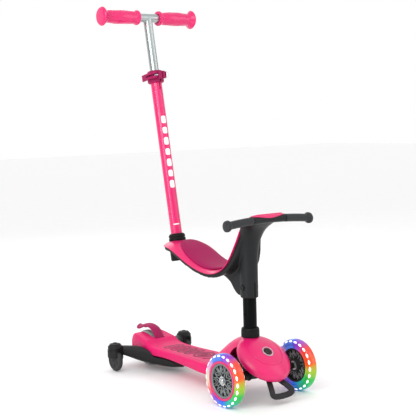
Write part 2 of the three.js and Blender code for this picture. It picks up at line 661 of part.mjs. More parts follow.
function trainerBeam() {
  const reach = TRAINER_HALF - HEAD_R + 6;
  const side = [
    [reach, TRAINER_Y - 16, TRAINER_Y + 13, TRAINER_TOP - 32, TRAINER_TOP - 10],
    [reach - 18, TRAINER_Y - 30, TRAINER_Y + 6, TRAINER_TOP - 40, TRAINER_TOP - 11],
    [DECK_HEEL_HALF + 10, TRAINER_Y - 58, TRAINER_Y - 8, TRAINER_TOP - 50, TRAINER_TOP - 12],
    [DECK_HEEL_HALF - 4, TRAINER_Y - 88, TRAINER_Y - 24, TRAINER_TOP - 55, DECK_BOTTOM + 14],
    [22, TRAINER_Y - 135, TRAINER_Y - 40, 16, DECK_BOTTOM - 0.5],
  ];
  const all = [...side, [0, TRAINER_Y - 152, TRAINER_Y - 48, 15, DECK_BOTTOM - 0.5],
    ...side.slice().reverse().map(([x, ...rest]) => [-x, ...rest])];
  const beam = solid(loft(all.map((values) => beamSection(...values))));
  const heads = [-1, 1].map((turn) => (
    solid(rod(HEAD_R + GAP, -10, 200).translate(turn * TRAINER_HALF, TRAINER_Y, 0))
  ));
  part('trainer_beam', cut(beam, [solid(deckBody(-GAP, -GAP, -GAP)), ...heads]), BLACK);
}
trainerBeam();

[['right', -1], ['left', 1]].forEach(([label, side]) => {
  const place = (geometry) => geometry.translate(side * TRAINER_HALF, TRAINER_Y, 0);
  const top = TRAINER_TOP;
  const barrel = solid(place(turned([
    [0, TRAINER_AXLE_Z], [HEAD_R - 2, TRAINER_AXLE_Z], [HEAD_R, TRAINER_AXLE_Z + 5], [HEAD_R, top - 19],
    [HEAD_R - 1.5, top - 17], [HEAD_R - 1, top - 10], [HEAD_R - 6, top - 4],
    [6, top - 2], [4.5, top], [0, top],
  ])));
  const inside = -side;
  const leg = solid(place(block(
    Math.min(inside * (TRAINER_SLOT), inside * (TRAINER_SLOT + 6)),
    Math.max(inside * (TRAINER_SLOT), inside * (TRAINER_SLOT + 6)),
    -9, 9, TRAINER_AXLE_Z - 10, TRAINER_AXLE_Z + 12,
  )));
  const slotTop = TRAINER_AXLE_Z + TRAINER_R + 2.5;
  const slot = solid(place(block(-TRAINER_SLOT, TRAINER_SLOT, -FAR, FAR, -10, slotTop)));
  const outerCut = solid(place(block(
    Math.min(side * (TRAINER_SLOT - 0.1), side * 60),
    Math.max(side * (TRAINER_SLOT - 0.1), side * 60),
    -60, 60, -10, TRAINER_AXLE_Z + 8,
  )));
  const stub = solid(place(acrossX(rod(4, -TRAINER_SLOT - 2, TRAINER_SLOT - 1.6, SMALL_SIDES))
    .scale(inside < 0 ? 1 : -1, 1, 1).translate(0, 0, TRAINER_AXLE_Z)));
  part(`trainer_head_${label}`, cut(joined([barrel, leg]), [slot, outerCut]).add(stub), BLACK);
  const half = TRAINER_WHEEL_W / 2;
  const facet = TRAINER_R / Math.cos(Math.PI / ROUND_SIDES);
  const wheel = acrossX(turned([
    [4 + GAP, -half], [TRAINER_R - 4, -half], [facet, -half + 3], [facet, half - 3], [TRAINER_R - 4, half],
    [4 + GAP, half], [4 + GAP, -half],
  ]));
  part(`trainer_wheel_${label}`, place(wheel.translate(0, 0, TRAINER_AXLE_Z)), BLACK);
});

// ---------------------------------------------------------------- seat unit
// The seat's centre line from its back edge to the top of the neck, as (y, z).
const seatLine = new THREE.CatmullRomCurve3([
  [331, 320], [319, 334], [300, 338], [270, 335], [240, 325], [210, 311], [180, 299],
  [150, 291], [120, 288],
  [92, 292], [70, 305], [54, 328], [43, 356], [33, 385], [18, 405], [-4, 417], [-34, 423],
].map(([y, z]) => new THREE.Vector3(0, y, z)), false, 'centripetal');
// Half widths at even steps along that line, as shares of the seat's half width.
const SEAT_SHARES = [0.5, 0.86, 0.97, 1, 0.98, 0.95, 0.92, 0.9, 0.84, 0.72, 0.58, 0.48, 0.47, 0.7];
const SEAT_STEPS = 20;
const EDGE_DROP = 9;
const PAD_FROM = 0.13;
const PAD_TO = 0.57;

function seatHalf(u) {
  const place = u * (SEAT_SHARES.length - 1);
  const i = Math.min(Math.floor(place), SEAT_SHARES.length - 2);
  return SEAT_HALF_W * THREE.MathUtils.lerp(SEAT_SHARES[i], SEAT_SHARES[i + 1], place - i);
}

function edgeDrop(u) {
  return EDGE_DROP * THREE.MathUtils.smoothstep(0.75 - u, 0, 0.3);
}

// A sheet that follows the seat: lift above the line, thickness, and a half width at each step.
function seatSheet(from, to, steps, lift, thick, halfAt, across = 6) {
  const rings = [];
  for (let k = 0; k <= steps; k += 1) {
    const u = from + ((to - from) * k) / steps;
    const middle = seatLine.getPointAt(u);
    const along = seatLine.getTangentAt(u);
    const up = new THREE.Vector3(0, -along.z, along.y).multiplyScalar(-1);
    const half = halfAt(u);
    const whole = seatHalf(u);
    const row = (height) => Array.from({ length: across + 1 }, (_, i) => {
      const x = half * (-1 + (2 * i) / across);
      const share = Math.min(Math.abs(x) / whole, 1.1);
      const drop = edgeDrop(u) * share ** 3;
      return new THREE.Vector3(x, middle.y, middle.z).addScaledVector(up, height - drop);
    });
    rings.push([...row(lift), ...row(lift - thick).reverse()]);
  }
  return loft(rings);
}

const SEAT_FRAME_TOP = 0.97;
function socketSpace(grow) {
  return solid(onPushBar(rod(SOCKET_D / 2 + grow, -1 - grow, 200)));
}

const pushBarTurn = new THREE.Matrix4().makeRotationX(-PUSH_BAR_LEAN * RAD);
function onPushBar(geometry) {
  return geometry.applyMatrix4(pushBarTurn).translate(0, SOCKET_Y, SOCKET_Z);
}

// The little handlebar on the neck droops a little at its ends.
function barPath(limit) {
  const points = [];
  for (let i = -6; i <= 6; i += 1) {
    const x = (limit * i) / 6;
    const droop = (x / BAR_HALF) ** 2;
    points.push(new THREE.Vector3(x, BAR_Y - 2 * droop, BAR_HEIGHT - 7 * droop));
  }
  return points;
}

function barTube(from, to, radius, steps = 4, sides = 10) {
  const line = new THREE.CatmullRomCurve3(barPath(BAR_HALF), false, 'centripetal');
  const at0 = (from + BAR_HALF) / (2 * BAR_HALF);
  const at1 = (to + BAR_HALF) / (2 * BAR_HALF);
  const rings = [];
  for (let k = 0; k <= steps; k += 1) {
    const p = line.getPointAt(at0 + ((at1 - at0) * k) / steps);
    rings.push(Array.from({ length: sides }, (_, i) => {
      const turn = (2 * Math.PI * (i + 0.5)) / sides;
      return new THREE.Vector3(p.x, p.y + radius * Math.cos(turn), p.z + radius * Math.sin(turn));
    }));
  }
  return loft(rings);
}

const BAR_ROOT = 47;
const BAR_CORE_R = 6;
function neckRing(z, y, halfX, halfY, count = 16) {
  return Array.from({ length: count }, (_, i) => {
    const turn = (2 * Math.PI * (i + 0.5)) / count;
    return new THREE.Vector3(halfX * Math.cos(turn), y + halfY * Math.sin(turn), z);
  });
}

function seatFrame() {
  const r = COLUMN_D / 2;
  const column = solid(loft([
    neckRing(COLUMN_FOOT, POST_Y, r, r), neckRing(310, POST_Y, r, r),
    neckRing(342, POST_Y - 2, r + 2.5, r),
    neckRing(366, POST_Y - 8, r + 6.5, r + 1), neckRing(385, POST_Y - 18, r + 12, r + 3),
    neckRing(398, POST_Y - 34, r + 20, r + 3), neckRing(407, POST_Y - 52, r + 27, r - 4),
    neckRing(BAR_HEIGHT + 4, POST_Y - 62, r + 27, r - 10),
  ]));
  const web = solid(plateYZ([
    [40, COLUMN_FOOT + 2], [74, COLUMN_FOOT + 5], [85, 249], [101, 264], [132, 273], [120, 286], [86, 288],
    [66, 300], [52, 325], [46, 350], [38, 350],
  ], -13, 13));
  const underHalf = (u) => seatHalf(u) - 4;
  const under = solid(seatSheet(0.055, SEAT_FRAME_TOP - 0.12, SEAT_STEPS, -1, UNDERSHELL_T, underHalf));
  const core = solid(barTube(-BAR_HALF + 6, BAR_HALF - 6, BAR_CORE_R, 8));
  const roots = solid(barTube(-BAR_ROOT, BAR_ROOT, BAR_GRIP_D / 2, 4));
  const over = solid(seatSheet(0, 1, SEAT_STEPS, 24, 24 + SEAT_T + GAP, (u) => seatHalf(u) + GAP));
  const boreTop = POST_TOP + SEAT_TRAVEL + 4;
  const bore = solid(rod(POST_D / 2 + RUN, COLUMN_FOOT - 20, boreTop).translate(0, POST_Y, 0));
  const slit = solid(block(-1.5, 1.5, -40, POST_Y, COLUMN_FOOT - 10, COLUMN_FOOT + 36));
  const boltBore = solid(acrossX(rod(BOLT_R + GAP, -60, 60, SMALL_SIDES)).translate(0, POST_Y, BOLT_Z));
  const whole = joined([column, web, under, core, roots]);
  part('seat_frame', cut(whole, [over, bore, slit, boltBore, socketSpace(GAP)]), BLACK);
}

const BOLT_R = 3;
const BOLT_Z = COLUMN_FOOT + 24;
seatFrame();

function boltStub(side, headSides) {
  const inner = POST_D / 2 + RUN + GAP;
  const outer = COLUMN_D / 2 + GAP;
  const stub = joined([
    solid(acrossX(rod(BOLT_R, inner, outer + 1, SMALL_SIDES))),
    solid(acrossX(rod(5.6, outer, outer + 2.6, headSides))),
  ]);
  const geometry = surface(stub);
  if (side < 0) geometry.rotateZ(Math.PI);
  return geometry.translate(0, POST_Y, BOLT_Z);
}
part('seat_bolt', boltStub(-1, SMALL_SIDES), BLACK_METAL);
part('seat_nut', boltStub(1, 6), BLACK_METAL);

part('seat_shell', cut(solid(seatSheet(0, 1, SEAT_STEPS, 0, SEAT_T, seatHalf)), [socketSpace(GAP)]), PINK);

function padHalf(u) {
  const middle = (PAD_FROM + PAD_TO) / 2;
  const reach = (PAD_TO - PAD_FROM) / 2;
  const share = Math.abs(u - middle) / reach;
  return 6 + (SEAT_HALF_W - 20) * Math.sqrt(Math.max(0, 1 - share ** 2.6));
}
const padSheet = seatSheet(PAD_FROM, PAD_TO, 12, PAD_T + 1.2, PAD_T, padHalf);
part('seat_pad', cut(solid(padSheet), [socketSpace(GAP)]), MAGENTA);

[['right', -1], ['left', 1]].forEach(([label, side]) => {
  const from = BAR_ROOT + GAP;
  const sorted = (a, b) => (side > 0 ? [a, b] : [-b, -a]);
  const body = solid(barTube(...sorted(from, BAR_HALF - 8), BAR_GRIP_D / 2));
  const knob = solid(barTube(...sorted(BAR_HALF - 10, BAR_HALF), BAR_KNOB_D / 2, 1, 12));
  const bore = solid(barTube(...sorted(BAR_ROOT - 6, BAR_HALF - 6 + GAP), BAR_CORE_R + GAP));
  part(`seat_grip_${label}`, cut(joined([body, knob]), [bore]), BLACK);
});

// ---------------------------------------------------------------- push bar and its socket
const pushBar = new THREE.Group();
pushBar.position.set(0, SOCKET_Y, SOCKET_Z);
pushBar.rotation.x = -PUSH_BAR_LEAN * RAD;
scooter.add(pushBar);
const TUBE_R = TUBE_D / 2;
const SOCKET_R = SOCKET_D / 2;
const SOCKET_FLOOR = 4;

const BUTTON = { halfX: 7, low: 8, high: 19, sink: 5, proud: 5 };
part('push_bar_socket', cut(solid(turned([
  [0, 0], [SOCKET_R - 3, 0], [SOCKET_R, 4], [SOCKET_R, SOCKET_H - 4], [SOCKET_R - 2, SOCKET_H],
  [TUBE_R + RUN, SOCKET_H], [TUBE_R + RUN, SOCKET_FLOOR], [0, SOCKET_FLOOR],
])), [solid(block(-BUTTON.halfX - GAP, BUTTON.halfX + GAP, SOCKET_R - BUTTON.sink - 3, 60,
  BUTTON.low - GAP, BUTTON.high + GAP))]), BLACK, pushBar);
part('release_button', block(-BUTTON.halfX, BUTTON.halfX, SOCKET_R - BUTTON.sink + 1,
  SOCKET_R + BUTTON.proud, BUTTON.low, BUTTON.high), BLACK, pushBar);

part('push_bar_tube', cut(solid(ring(TUBE_R - TUBE_WALL, TUBE_R, SOCKET_FLOOR + GAP, TUBE_END)),
  [solid(block(-1.2, 1.2, -TUBE_R - 5, 0, TUBE_END - 46, TUBE_END + 5))]), PINK, pushBar);
part('push_bar_collar', turned([
  [TUBE_R + GAP, SOCKET_H + GAP], [21, SOCKET_H + GAP], [21, SOCKET_H + 5], [19.4, SOCKET_H + 6.2],
  [19.4, SOCKET_H + 8], [20.6, SOCKET_H + 9], [20.2, SOCKET_H + 13], [17.4, SOCKET_H + 17],
  [TUBE_R + GAP, SOCKET_H + 17], [TUBE_R + GAP, SOCKET_H + GAP],
]), BLACK, pushBar);

const CLAMP_FOOT = TUBE_END - CLAMP_H + 3;
const CLAMP_TOP = TUBE_END + 3;
const CLAMP_R = CLAMP_D / 2;
const LUG_HALF = 12;
const LUG_Y = -CLAMP_R - 6;
const CLAMP_BOLT_R = 2.6;
const STEM_R = STEM_D / 2;
const LEVER_X = -LUG_HALF - 6;
const clampMiddle = (CLAMP_FOOT + CLAMP_TOP) / 2;
function clamp() {
  const body = solid(turned([
    [TUBE_R + GAP, CLAMP_FOOT], [CLAMP_R - 1.5, CLAMP_FOOT], [CLAMP_R, CLAMP_FOOT + 3],
    [CLAMP_R, CLAMP_TOP - 5],
    [CLAMP_R - 3, CLAMP_TOP], [STEM_R + RUN, CLAMP_TOP], [STEM_R + RUN, TUBE_END + GAP],
    [TUBE_R + GAP, TUBE_END + GAP], [TUBE_R + GAP, CLAMP_FOOT],
  ]));
  const lug = solid(block(-LUG_HALF, LUG_HALF, LUG_Y - 6, -TUBE_R - 3,
    clampMiddle - 11, clampMiddle + 11));
  const bore = solid(rod(TUBE_R + GAP, CLAMP_FOOT - 20, TUBE_END + GAP));
  const stemBore = solid(rod(STEM_R + RUN, CLAMP_FOOT - 20, CLAMP_TOP + 20));
  const slot = solid(block(-1.5, 1.5, -60, -5, CLAMP_FOOT - 5, CLAMP_TOP + 5));
  const boltBore = solid(acrossX(rod(CLAMP_BOLT_R + GAP, -FAR, FAR, SMALL_SIDES))
    .translate(0, LUG_Y, clampMiddle));
  part('height_clamp', cut(joined([body, lug]), [bore, stemBore, slot, boltBore]), MAGENTA, pushBar);
}
clamp();
part('clamp_bolt', acrossX(rod(CLAMP_BOLT_R, LEVER_X - 1, LUG_HALF + 8, SMALL_SIDES))
  .translate(0, LUG_Y, clampMiddle), STEEL, pushBar);
part('clamp_nut', acrossX(ring(CLAMP_BOLT_R + GAP, 8, LUG_HALF + GAP, LUG_HALF + 7, 12))
  .translate(0, LUG_Y, clampMiddle), STEEL, pushBar);

// The cam lever turns about a line beside the lugs and wraps back along the clamp. Its slot leaves
// room for the bolt all the way to the open position.
const LEVER_SWING = 110;
function clampLever() {
  const cam = solid(rod(5.4, clampMiddle - 9, clampMiddle + 9, SMALL_SIDES).translate(LEVER_X, LUG_Y, 0));
  const arm = new THREE.Shape();
  arm.moveTo(LEVER_X - 5.2, LUG_Y);
  arm.lineTo(LEVER_X - 0.2, LUG_Y + 2);
  arm.quadraticCurveTo(-CLAMP_R - 2.2, -8, -CLAMP_R - 1.6, 8);
  arm.lineTo(-CLAMP_R - 3, 22);
  arm.lineTo(-CLAMP_R - 6.5, 21);
  arm.quadraticCurveTo(-CLAMP_R - 8, -6, LEVER_X - 5.2, LUG_Y);
  const blade = solid(new THREE.ExtrudeGeometry(arm, { depth: 16, bevelEnabled: false, curveSegments: 5 })
    .translate(0, 0, clampMiddle - 8));
  const steps = 8;
  const boltRoom = Array.from({ length: steps + 1 }, (_, i) => (
    solid(acrossX(rod(CLAMP_BOLT_R + GAP, -3, 40, SMALL_SIDES))
      .rotateZ((-LEVER_SWING * RAD * i) / steps)
      .translate(LEVER_X, LUG_Y, clampMiddle))
  ));
  part('clamp_lever', cut(joined([cam, blade]), boltRoom), MAGENTA, pushBar);
}
clampLever();

function upperBar() {
  const wall = 1.6;
  const crossZ = STEM_TOP;
  const stem = solid(ring(STEM_R - wall, STEM_R, STEM_FOOT, crossZ));
  const cross = solid(acrossX(rod(STEM_R, -CROSS_HALF, CROSS_HALF)).translate(0, 0, crossZ));
  const crossBore = solid(acrossX(rod(STEM_R - wall, -CROSS_HALF - 5, CROSS_HALF + 5))
    .translate(0, 0, crossZ));
  part('upper_bar', cut(joined([stem, cross]), [crossBore]), STEEL, pushBar);
  [['right', -1], ['left', 1]].forEach(([label, side]) => {
    const bore = STEM_R + GAP;
    const r = GRIP_D / 2;
    const grip = acrossX(turned([
      [0, GRIP_END], [10, GRIP_END], [FLANGE_D / 2 - 3.5, GRIP_END - 1], [FLANGE_D / 2, GRIP_END - 5],
      [FLANGE_D / 2 - 3, GRIP_END - 9], [r, GRIP_END - 15], [r - 0.8, GRIP_END - 40], [r, GRIP_START + 24],
      [r, GRIP_START + 9], [r + 2.5, GRIP_START + 4], [r + 1.5, GRIP_START], [bore, GRIP_START],
      [bore, CROSS_HALF + GAP], [0, CROSS_HALF + GAP],
    ]));
    if (side < 0) grip.rotateZ(Math.PI);
    part(`bar_grip_${label}`, grip.translate(0, 0, crossZ), PINK, pushBar);
  });
}
upperBar();

export default scooter;
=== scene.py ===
# %% [markdown]
# # A toddler's kick scooter with a seat and a parent's push bar
# The scooter has a pink moulded deck on two front wheels and one rear wheel, a black post with
# a saddle seat and a small handlebar, a parent's push bar behind the seat, and a black trainer
# beam with two small side wheels. The engineering model gives every piece's place and every
# joint. This lesson dresses it: each cell makes one piece or one finish and says why it is made
# in that way.

# %% Load the engineering model
import json
import math
import random

import bmesh
import bpy
from mathutils import Matrix, Vector


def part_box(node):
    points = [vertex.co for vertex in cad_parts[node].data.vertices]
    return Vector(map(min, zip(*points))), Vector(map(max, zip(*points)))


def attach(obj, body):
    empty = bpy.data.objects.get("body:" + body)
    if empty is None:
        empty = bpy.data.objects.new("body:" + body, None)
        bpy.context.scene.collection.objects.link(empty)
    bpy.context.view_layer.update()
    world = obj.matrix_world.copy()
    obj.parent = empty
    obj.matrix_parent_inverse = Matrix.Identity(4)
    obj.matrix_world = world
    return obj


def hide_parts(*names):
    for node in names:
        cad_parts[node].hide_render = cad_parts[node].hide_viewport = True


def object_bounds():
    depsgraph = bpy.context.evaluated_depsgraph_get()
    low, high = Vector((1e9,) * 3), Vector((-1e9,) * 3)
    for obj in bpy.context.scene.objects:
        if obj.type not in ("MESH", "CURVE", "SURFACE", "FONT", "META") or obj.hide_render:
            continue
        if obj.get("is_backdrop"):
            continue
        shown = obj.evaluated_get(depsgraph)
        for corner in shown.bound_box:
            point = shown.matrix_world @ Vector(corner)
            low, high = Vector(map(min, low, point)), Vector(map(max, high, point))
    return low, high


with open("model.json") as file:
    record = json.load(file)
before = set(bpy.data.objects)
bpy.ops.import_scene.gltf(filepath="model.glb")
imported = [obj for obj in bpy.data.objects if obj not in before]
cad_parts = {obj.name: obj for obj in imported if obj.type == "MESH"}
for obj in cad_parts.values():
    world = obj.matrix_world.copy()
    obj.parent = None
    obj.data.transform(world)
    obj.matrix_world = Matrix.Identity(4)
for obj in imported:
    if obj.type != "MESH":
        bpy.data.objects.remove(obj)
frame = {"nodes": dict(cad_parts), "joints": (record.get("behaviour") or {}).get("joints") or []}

cad_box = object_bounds()
random.seed(7)
print("engineering box in metres:", [tuple(round(v, 4) for v in corner) for corner in cad_box])

# %% [markdown]
# ## Where things are
# Everything is drawn in millimetres from the floor line under the front axle, because that is
# how a scooter is drawn on paper. `at` turns such a point into the model's metres. The axle's
# own place comes from the engineering model.

# %% Places and measures
MM = 0.001


def middle(node):
    low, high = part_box(node)
    return (low + high) / 2


def joint(name):
    return next(j for j in frame["joints"] if j["name"] == name)


FRONT_AXLE = middle("front_axle")
REAR_AXLE = middle("rear_tyre")
TAU = 2 * math.pi


def at(x, y, z):
    return Vector((x * MM, FRONT_AXLE.y + y * MM, z * MM))


def extent(node):
    """The corners of a node's box in millimetres from the front axle's floor line."""
    return [Vector((v.x / MM, (v.y - FRONT_AXLE.y) / MM, v.z / MM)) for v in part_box(node)]


WHEELBASE = (REAR_AXLE.y - FRONT_AXLE.y) / MM
print(f"front axle {FRONT_AXLE.z / MM:.1f} mm up, wheelbase {WHEELBASE:.1f} mm")

# %% [markdown]
# ## Camera
# The scooter is seen from its front right corner, a little above the wheels, through a long
# lens that keeps the wheels nearly round. The camera's three directions are worked out from a
# turn round the scooter, a height angle and a small roll.

# %% Camera
CAMERA_TURN, CAMERA_HEIGHT, CAMERA_ROLL = -37.357, 5.065, -1.542
CAMERA_PLACE = at(-1486.9, -1762.9, 640.7)
SENSOR_MM, FOCAL_MM, FAR_CLIP = 36, 89.64, 60


def aim(turn, height, roll):
    a, e, r = (math.radians(v) for v in (turn, height, roll))
    back = Vector((math.sin(a) * math.cos(e), -math.cos(a) * math.cos(e), math.sin(e)))
    right = Vector((math.cos(a), math.sin(a), 0))
    up = back.cross(right)
    level = right * math.cos(r) + up * math.sin(r)
    upright = up * math.cos(r) - right * math.sin(r)
    return Matrix((level, upright, back)).transposed().to_4x4()


scene = bpy.context.scene
optics = bpy.data.cameras.new("camera")
optics.sensor_width = SENSOR_MM
optics.lens = FOCAL_MM
optics.clip_end = FAR_CLIP
camera = bpy.data.objects.new("camera", optics)
scene.collection.objects.link(camera)
camera.matrix_world = Matrix.Translation(CAMERA_PLACE) @ aim(CAMERA_TURN, CAMERA_HEIGHT, CAMERA_ROLL)
scene.camera = camera
print("camera at", [round(v, 3) for v in CAMERA_PLACE])

# %% [markdown]
# ## Floor and light
# A pale sweep and large soft lamps show moulded plastic best: wide lamps give the long soft
# highlights that tell gloss from satin. The colours are shown as they are, with no film look,
# so that the pink stays bright.

# %% Floor and light
# metres
FLOOR_HALF = 14
CARD_AWAY = 7.5
scene.view_settings.view_transform = "Standard"
scene.view_settings.look = "None"


def plain_world(colour, strength):
    world = bpy.data.worlds.new("studio")
    world.use_nodes = True
    sky = world.node_tree.nodes["Background"]
    sky.inputs["Color"].default_value = (*colour, 1)
    sky.inputs["Strength"].default_value = strength
    scene.world = world


def lamp(name, place, target, size, power, colour=(1, 1, 1)):
    light = bpy.data.lights.new(name, "AREA")
    light.shape = "RECTANGLE"
    light.size, light.size_y = size
    light.energy = power
    light.color = colour
    ob = bpy.data.objects.new(name, light)
    scene.collection.objects.link(ob)
    ob.location = place
    ob.rotation_mode = "QUATERNION"
    ob.rotation_quaternion = (target - Vector(place)).to_track_quat("-Z", "Y")
    return ob


plain_world((1.0, 1.0, 1.0), 1.0)
centre = (cad_box[0] + cad_box[1]) / 2
lamp("key", (-1.9, -1.5, 2.1), centre, (1.4, 1.8), 22)
lamp("side", (1.9, -1.9, 1.3), centre, (0.9, 2.0), 9)
lamp("back", (0.6, 2.4, 1.9), centre, (2.0, 1.2), 12)
lamp("strip", (-2.3, -0.55, 0.9), centre, (0.16, 1.7), 15)

mesh = bpy.data.meshes.new("floor")
half = FLOOR_HALF
mesh.from_pydata([(-half, -half, 0), (half, -half, 0), (half, half, 0), (-half, half, 0)], [], [(0, 1, 2, 3)])
floor = bpy.data.objects.new("floor", mesh)
scene.collection.objects.link(floor)
floor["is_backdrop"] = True


def dark_card(name, turn, away, wide, tall):
    """A black board out of sight. Bright tubes need something dark to mirror beside the light."""
    spot = Vector((math.sin(math.radians(turn)), -math.cos(math.radians(turn)), 0)) * away
    side = Vector((spot.y, -spot.x, 0)).normalized() * wide / 2
    board = bpy.data.meshes.new(name)
    corners = [spot - side, spot + side, spot + side + Vector((0, 0, tall)),
               spot - side + Vector((0, 0, tall))]
    board.from_pydata([tuple(c) for c in corners], [], [(0, 1, 2, 3)])
    ob = bpy.data.objects.new(name, board)
    scene.collection.objects.link(ob)
    ob.visible_camera = False
    ob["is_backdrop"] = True
    return ob


cards = [dark_card("card_front", -24, CARD_AWAY, 2.0, 5.0),
         dark_card("card_right", 60, CARD_AWAY, 2.0, 5.5),
         dark_card("card_left", -118, CARD_AWAY, 2.2, 6.0)]

# %% [markdown]
# ## Finishes
# Most of the scooter is moulded plastic. Real mouldings are never one flat colour: the surface
# has a fine grain that breaks up the highlight, the gloss varies a little from place to place,
# and the colour drifts faintly where the plastic flowed. One helper builds that recipe, and each
# finish gives it its own colour, grain size and gloss.

# %% The moulded finish helper


def noise(nodes, links, place, scale, detail=3.0):
    texture = nodes.new("ShaderNodeTexNoise")
    texture.inputs["Scale"].default_value = scale
    texture.inputs["Detail"].default_value = detail
    links.new(place.outputs["Object"], texture.inputs["Vector"])
    return texture


def spread(nodes, links, source, low, high):
    """Maps a 0 to 1 signal to the range low to high."""
    stretch = nodes.new("ShaderNodeMapRange")
    stretch.inputs["From Min"].default_value = 0.3
    stretch.inputs["From Max"].default_value = 0.7
    stretch.inputs["To Min"].default_value = low
    stretch.inputs["To Max"].default_value = high
    links.new(source, stretch.inputs["Value"])
    return stretch.outputs["Result"]


def shade(colour, factor):
    return tuple(min(1.0, c * factor) for c in colour) + (1,)


GLOSS_DRIFT = 0.05


def finish(name, colour, roughness, metallic=0.0, grain=1400, bump=0.04, drift=0.07,
           coat=0.0, coat_roughness=0.08, specular=0.5, anisotropic=0.0, second=None):
    """A moulded or painted finish: drifting colour, uneven gloss and a fine grain."""
    material = bpy.data.materials.new(name)
    material.use_nodes = True
    nodes, links = material.node_tree.nodes, material.node_tree.links
    shader = nodes["Principled BSDF"]
    place = nodes.new("ShaderNodeTexCoord")
    broad = noise(nodes, links, place, 14)
    fine = noise(nodes, links, place, grain, 2)
    tint = nodes.new("ShaderNodeMix")
    tint.data_type = "RGBA"
    tint.inputs["A"].default_value = shade(colour, 1 - drift)
    tint.inputs["B"].default_value = shade(second or colour, 1 + drift)
    links.new(spread(nodes, links, broad.outputs["Fac"], 0, 1), tint.inputs["Factor"])
    links.new(tint.outputs["Result"], shader.inputs["Base Color"])
    links.new(spread(nodes, links, broad.outputs["Fac"], roughness - GLOSS_DRIFT, roughness + GLOSS_DRIFT),
              shader.inputs["Roughness"])
    shader.inputs["Metallic"].default_value = metallic
    shader.inputs["Coat Weight"].default_value = coat
    shader.inputs["Coat Roughness"].default_value = coat_roughness
    shader.inputs["Specular IOR Level"].default_value = specular
    shader.inputs["Anisotropic"].default_value = anisotropic
    relief = nodes.new("ShaderNodeBump")
    relief.inputs["Strength"].default_value = bump
    relief.inputs["Distance"].default_value = 0.0006
    links.new(fine.outputs["Fac"], relief.inputs["Height"])
    links.new(relief.outputs["Normal"], shader.inputs["Normal"])
    return material


# %% [markdown]
# The pink shell plastic is glossy and strongly coloured. The brake, the clamp and the seat pad
# are a darker magenta with a satin face. Blacks come in four kinds: fine-grained satin for the
# seat column, dull black for the trainer beam, gloss for collars, and powder coat for the post.

# %% Plastics, paints and metals
PINK = finish("pink_shell", (0.72, 0.010, 0.138), 0.34, specular=0.4, grain=900, bump=0.03, drift=0.04,
              coat=0.25,
              coat_roughness=0.22)
PINK_DECK = finish("pink_deck", (0.72, 0.010, 0.138), 0.45, grain=1100, bump=0.05, drift=0.05, specular=0.2)
PINK_PAINT = finish("pink_paint", (0.72, 0.012, 0.145), 0.26, specular=0.4, grain=500, bump=0.03,
                    drift=0.03, coat=0.5,
                    coat_roughness=0.12)
PINK_GRIP = finish("pink_grip", (0.72, 0.010, 0.138), 0.24, specular=0.4, grain=420, bump=0.01, drift=0.05,
                   coat=0.3,
                   coat_roughness=0.15)
MAGENTA = finish("magenta_satin", (0.325, 0.009, 0.085), 0.5, specular=0.18, grain=1200, bump=0.08,
                 drift=0.07)
PAD_RUBBER = finish("pad_rubber", (0.33, 0.009, 0.085), 0.62, specular=0.15, grain=800, bump=0.2, drift=0.08)
BLACK_SATIN = finish("black_satin", (0.012, 0.013, 0.014), 0.42, specular=0.2, grain=1500, bump=0.12,
                     drift=0.15)
BLACK_DULL = finish("black_dull", (0.007, 0.0073, 0.0075), 0.55, specular=0.15, grain=1300, bump=0.16,
                    drift=0.15)
BLACK_GLOSS = finish("black_gloss", (0.009, 0.010, 0.011), 0.3, specular=0.3, grain=900, bump=0.04, drift=0.2)
BLACK_RUBBER = finish("black_rubber", (0.018, 0.020, 0.022), 0.5, specular=0.35, grain=700, bump=0.25,
                      drift=0.15)
POST_COAT = finish("post_powder_coat", (0.0025, 0.003, 0.0034), 0.3, specular=0.06, grain=600, bump=0.06,
                   drift=0.2,
                   coat=0.0)
STEEL = finish("zinc_steel", (0.62, 0.64, 0.65), 0.3, metallic=1.0, grain=900, bump=0.06, drift=0.08)
ALLOY = finish("polished_tube", (0.42, 0.46, 0.46), 0.28, metallic=1.0, grain=1200, bump=0.03,
               drift=0.05, anisotropic=0.6)
RIM_GREY = finish("rim_grey", (0.19, 0.225, 0.225), 0.4, metallic=0.5, grain=900, bump=0.06, drift=0.1)
SPOKE_GREY = finish("spoke_silver", (0.36, 0.39, 0.39), 0.36, metallic=0.6, grain=1100, bump=0.08,
                    drift=0.08)
VOID_BLACK = finish("hub_black", (0.012, 0.012, 0.014), 0.6, grain=900, bump=0.1, drift=0.1)
FLOOR_WHITE = finish("pale_floor", (0.955, 0.955, 0.955), 0.7, specular=0.1, grain=40, bump=0.0, drift=0.01)
floor.data.materials.append(FLOOR_WHITE)
CARD_BLACK = finish("card_black", (0.01, 0.01, 0.01), 0.8, grain=60, bump=0.0, drift=0.02)
for card in cards:
    card.data.materials.append(CARD_BLACK)
print("finishes:", len(bpy.data.materials))

# %% [markdown]
# ## Small workshop
# Nearly every piece is either turned on a lathe, lofted through a row of sections, or swept
# along a line. `Form` collects such shells in one mesh. `place_piece` gives the mesh smooth
# faces with crisp edges, its finish and the body that it moves with.

# %% Forms and pieces


def rounded(profile, radius, steps=3, closed=True):
    """Fillets the corners of a profile of (radius, height) points."""
    points = [Vector(p) for p in profile]
    count = len(points)
    out = []
    for i, p in enumerate(points):
        ends = not closed and i in (0, count - 1)
        before, after = points[i - 1], points[(i + 1) % count]
        if ends or radius <= 0 or p.x < 1e-6:
            out.append(p)
            continue
        reach = min(radius, 0.45 * (before - p).length, 0.45 * (after - p).length)
        a = p + (before - p).normalized() * reach
        b = p + (after - p).normalized() * reach
        for k in range(steps + 1):
            t = k / steps
            out.append(a * (1 - t) ** 2 + p * 2 * t * (1 - t) + b * t ** 2)
    return [tuple(p) for p in out]


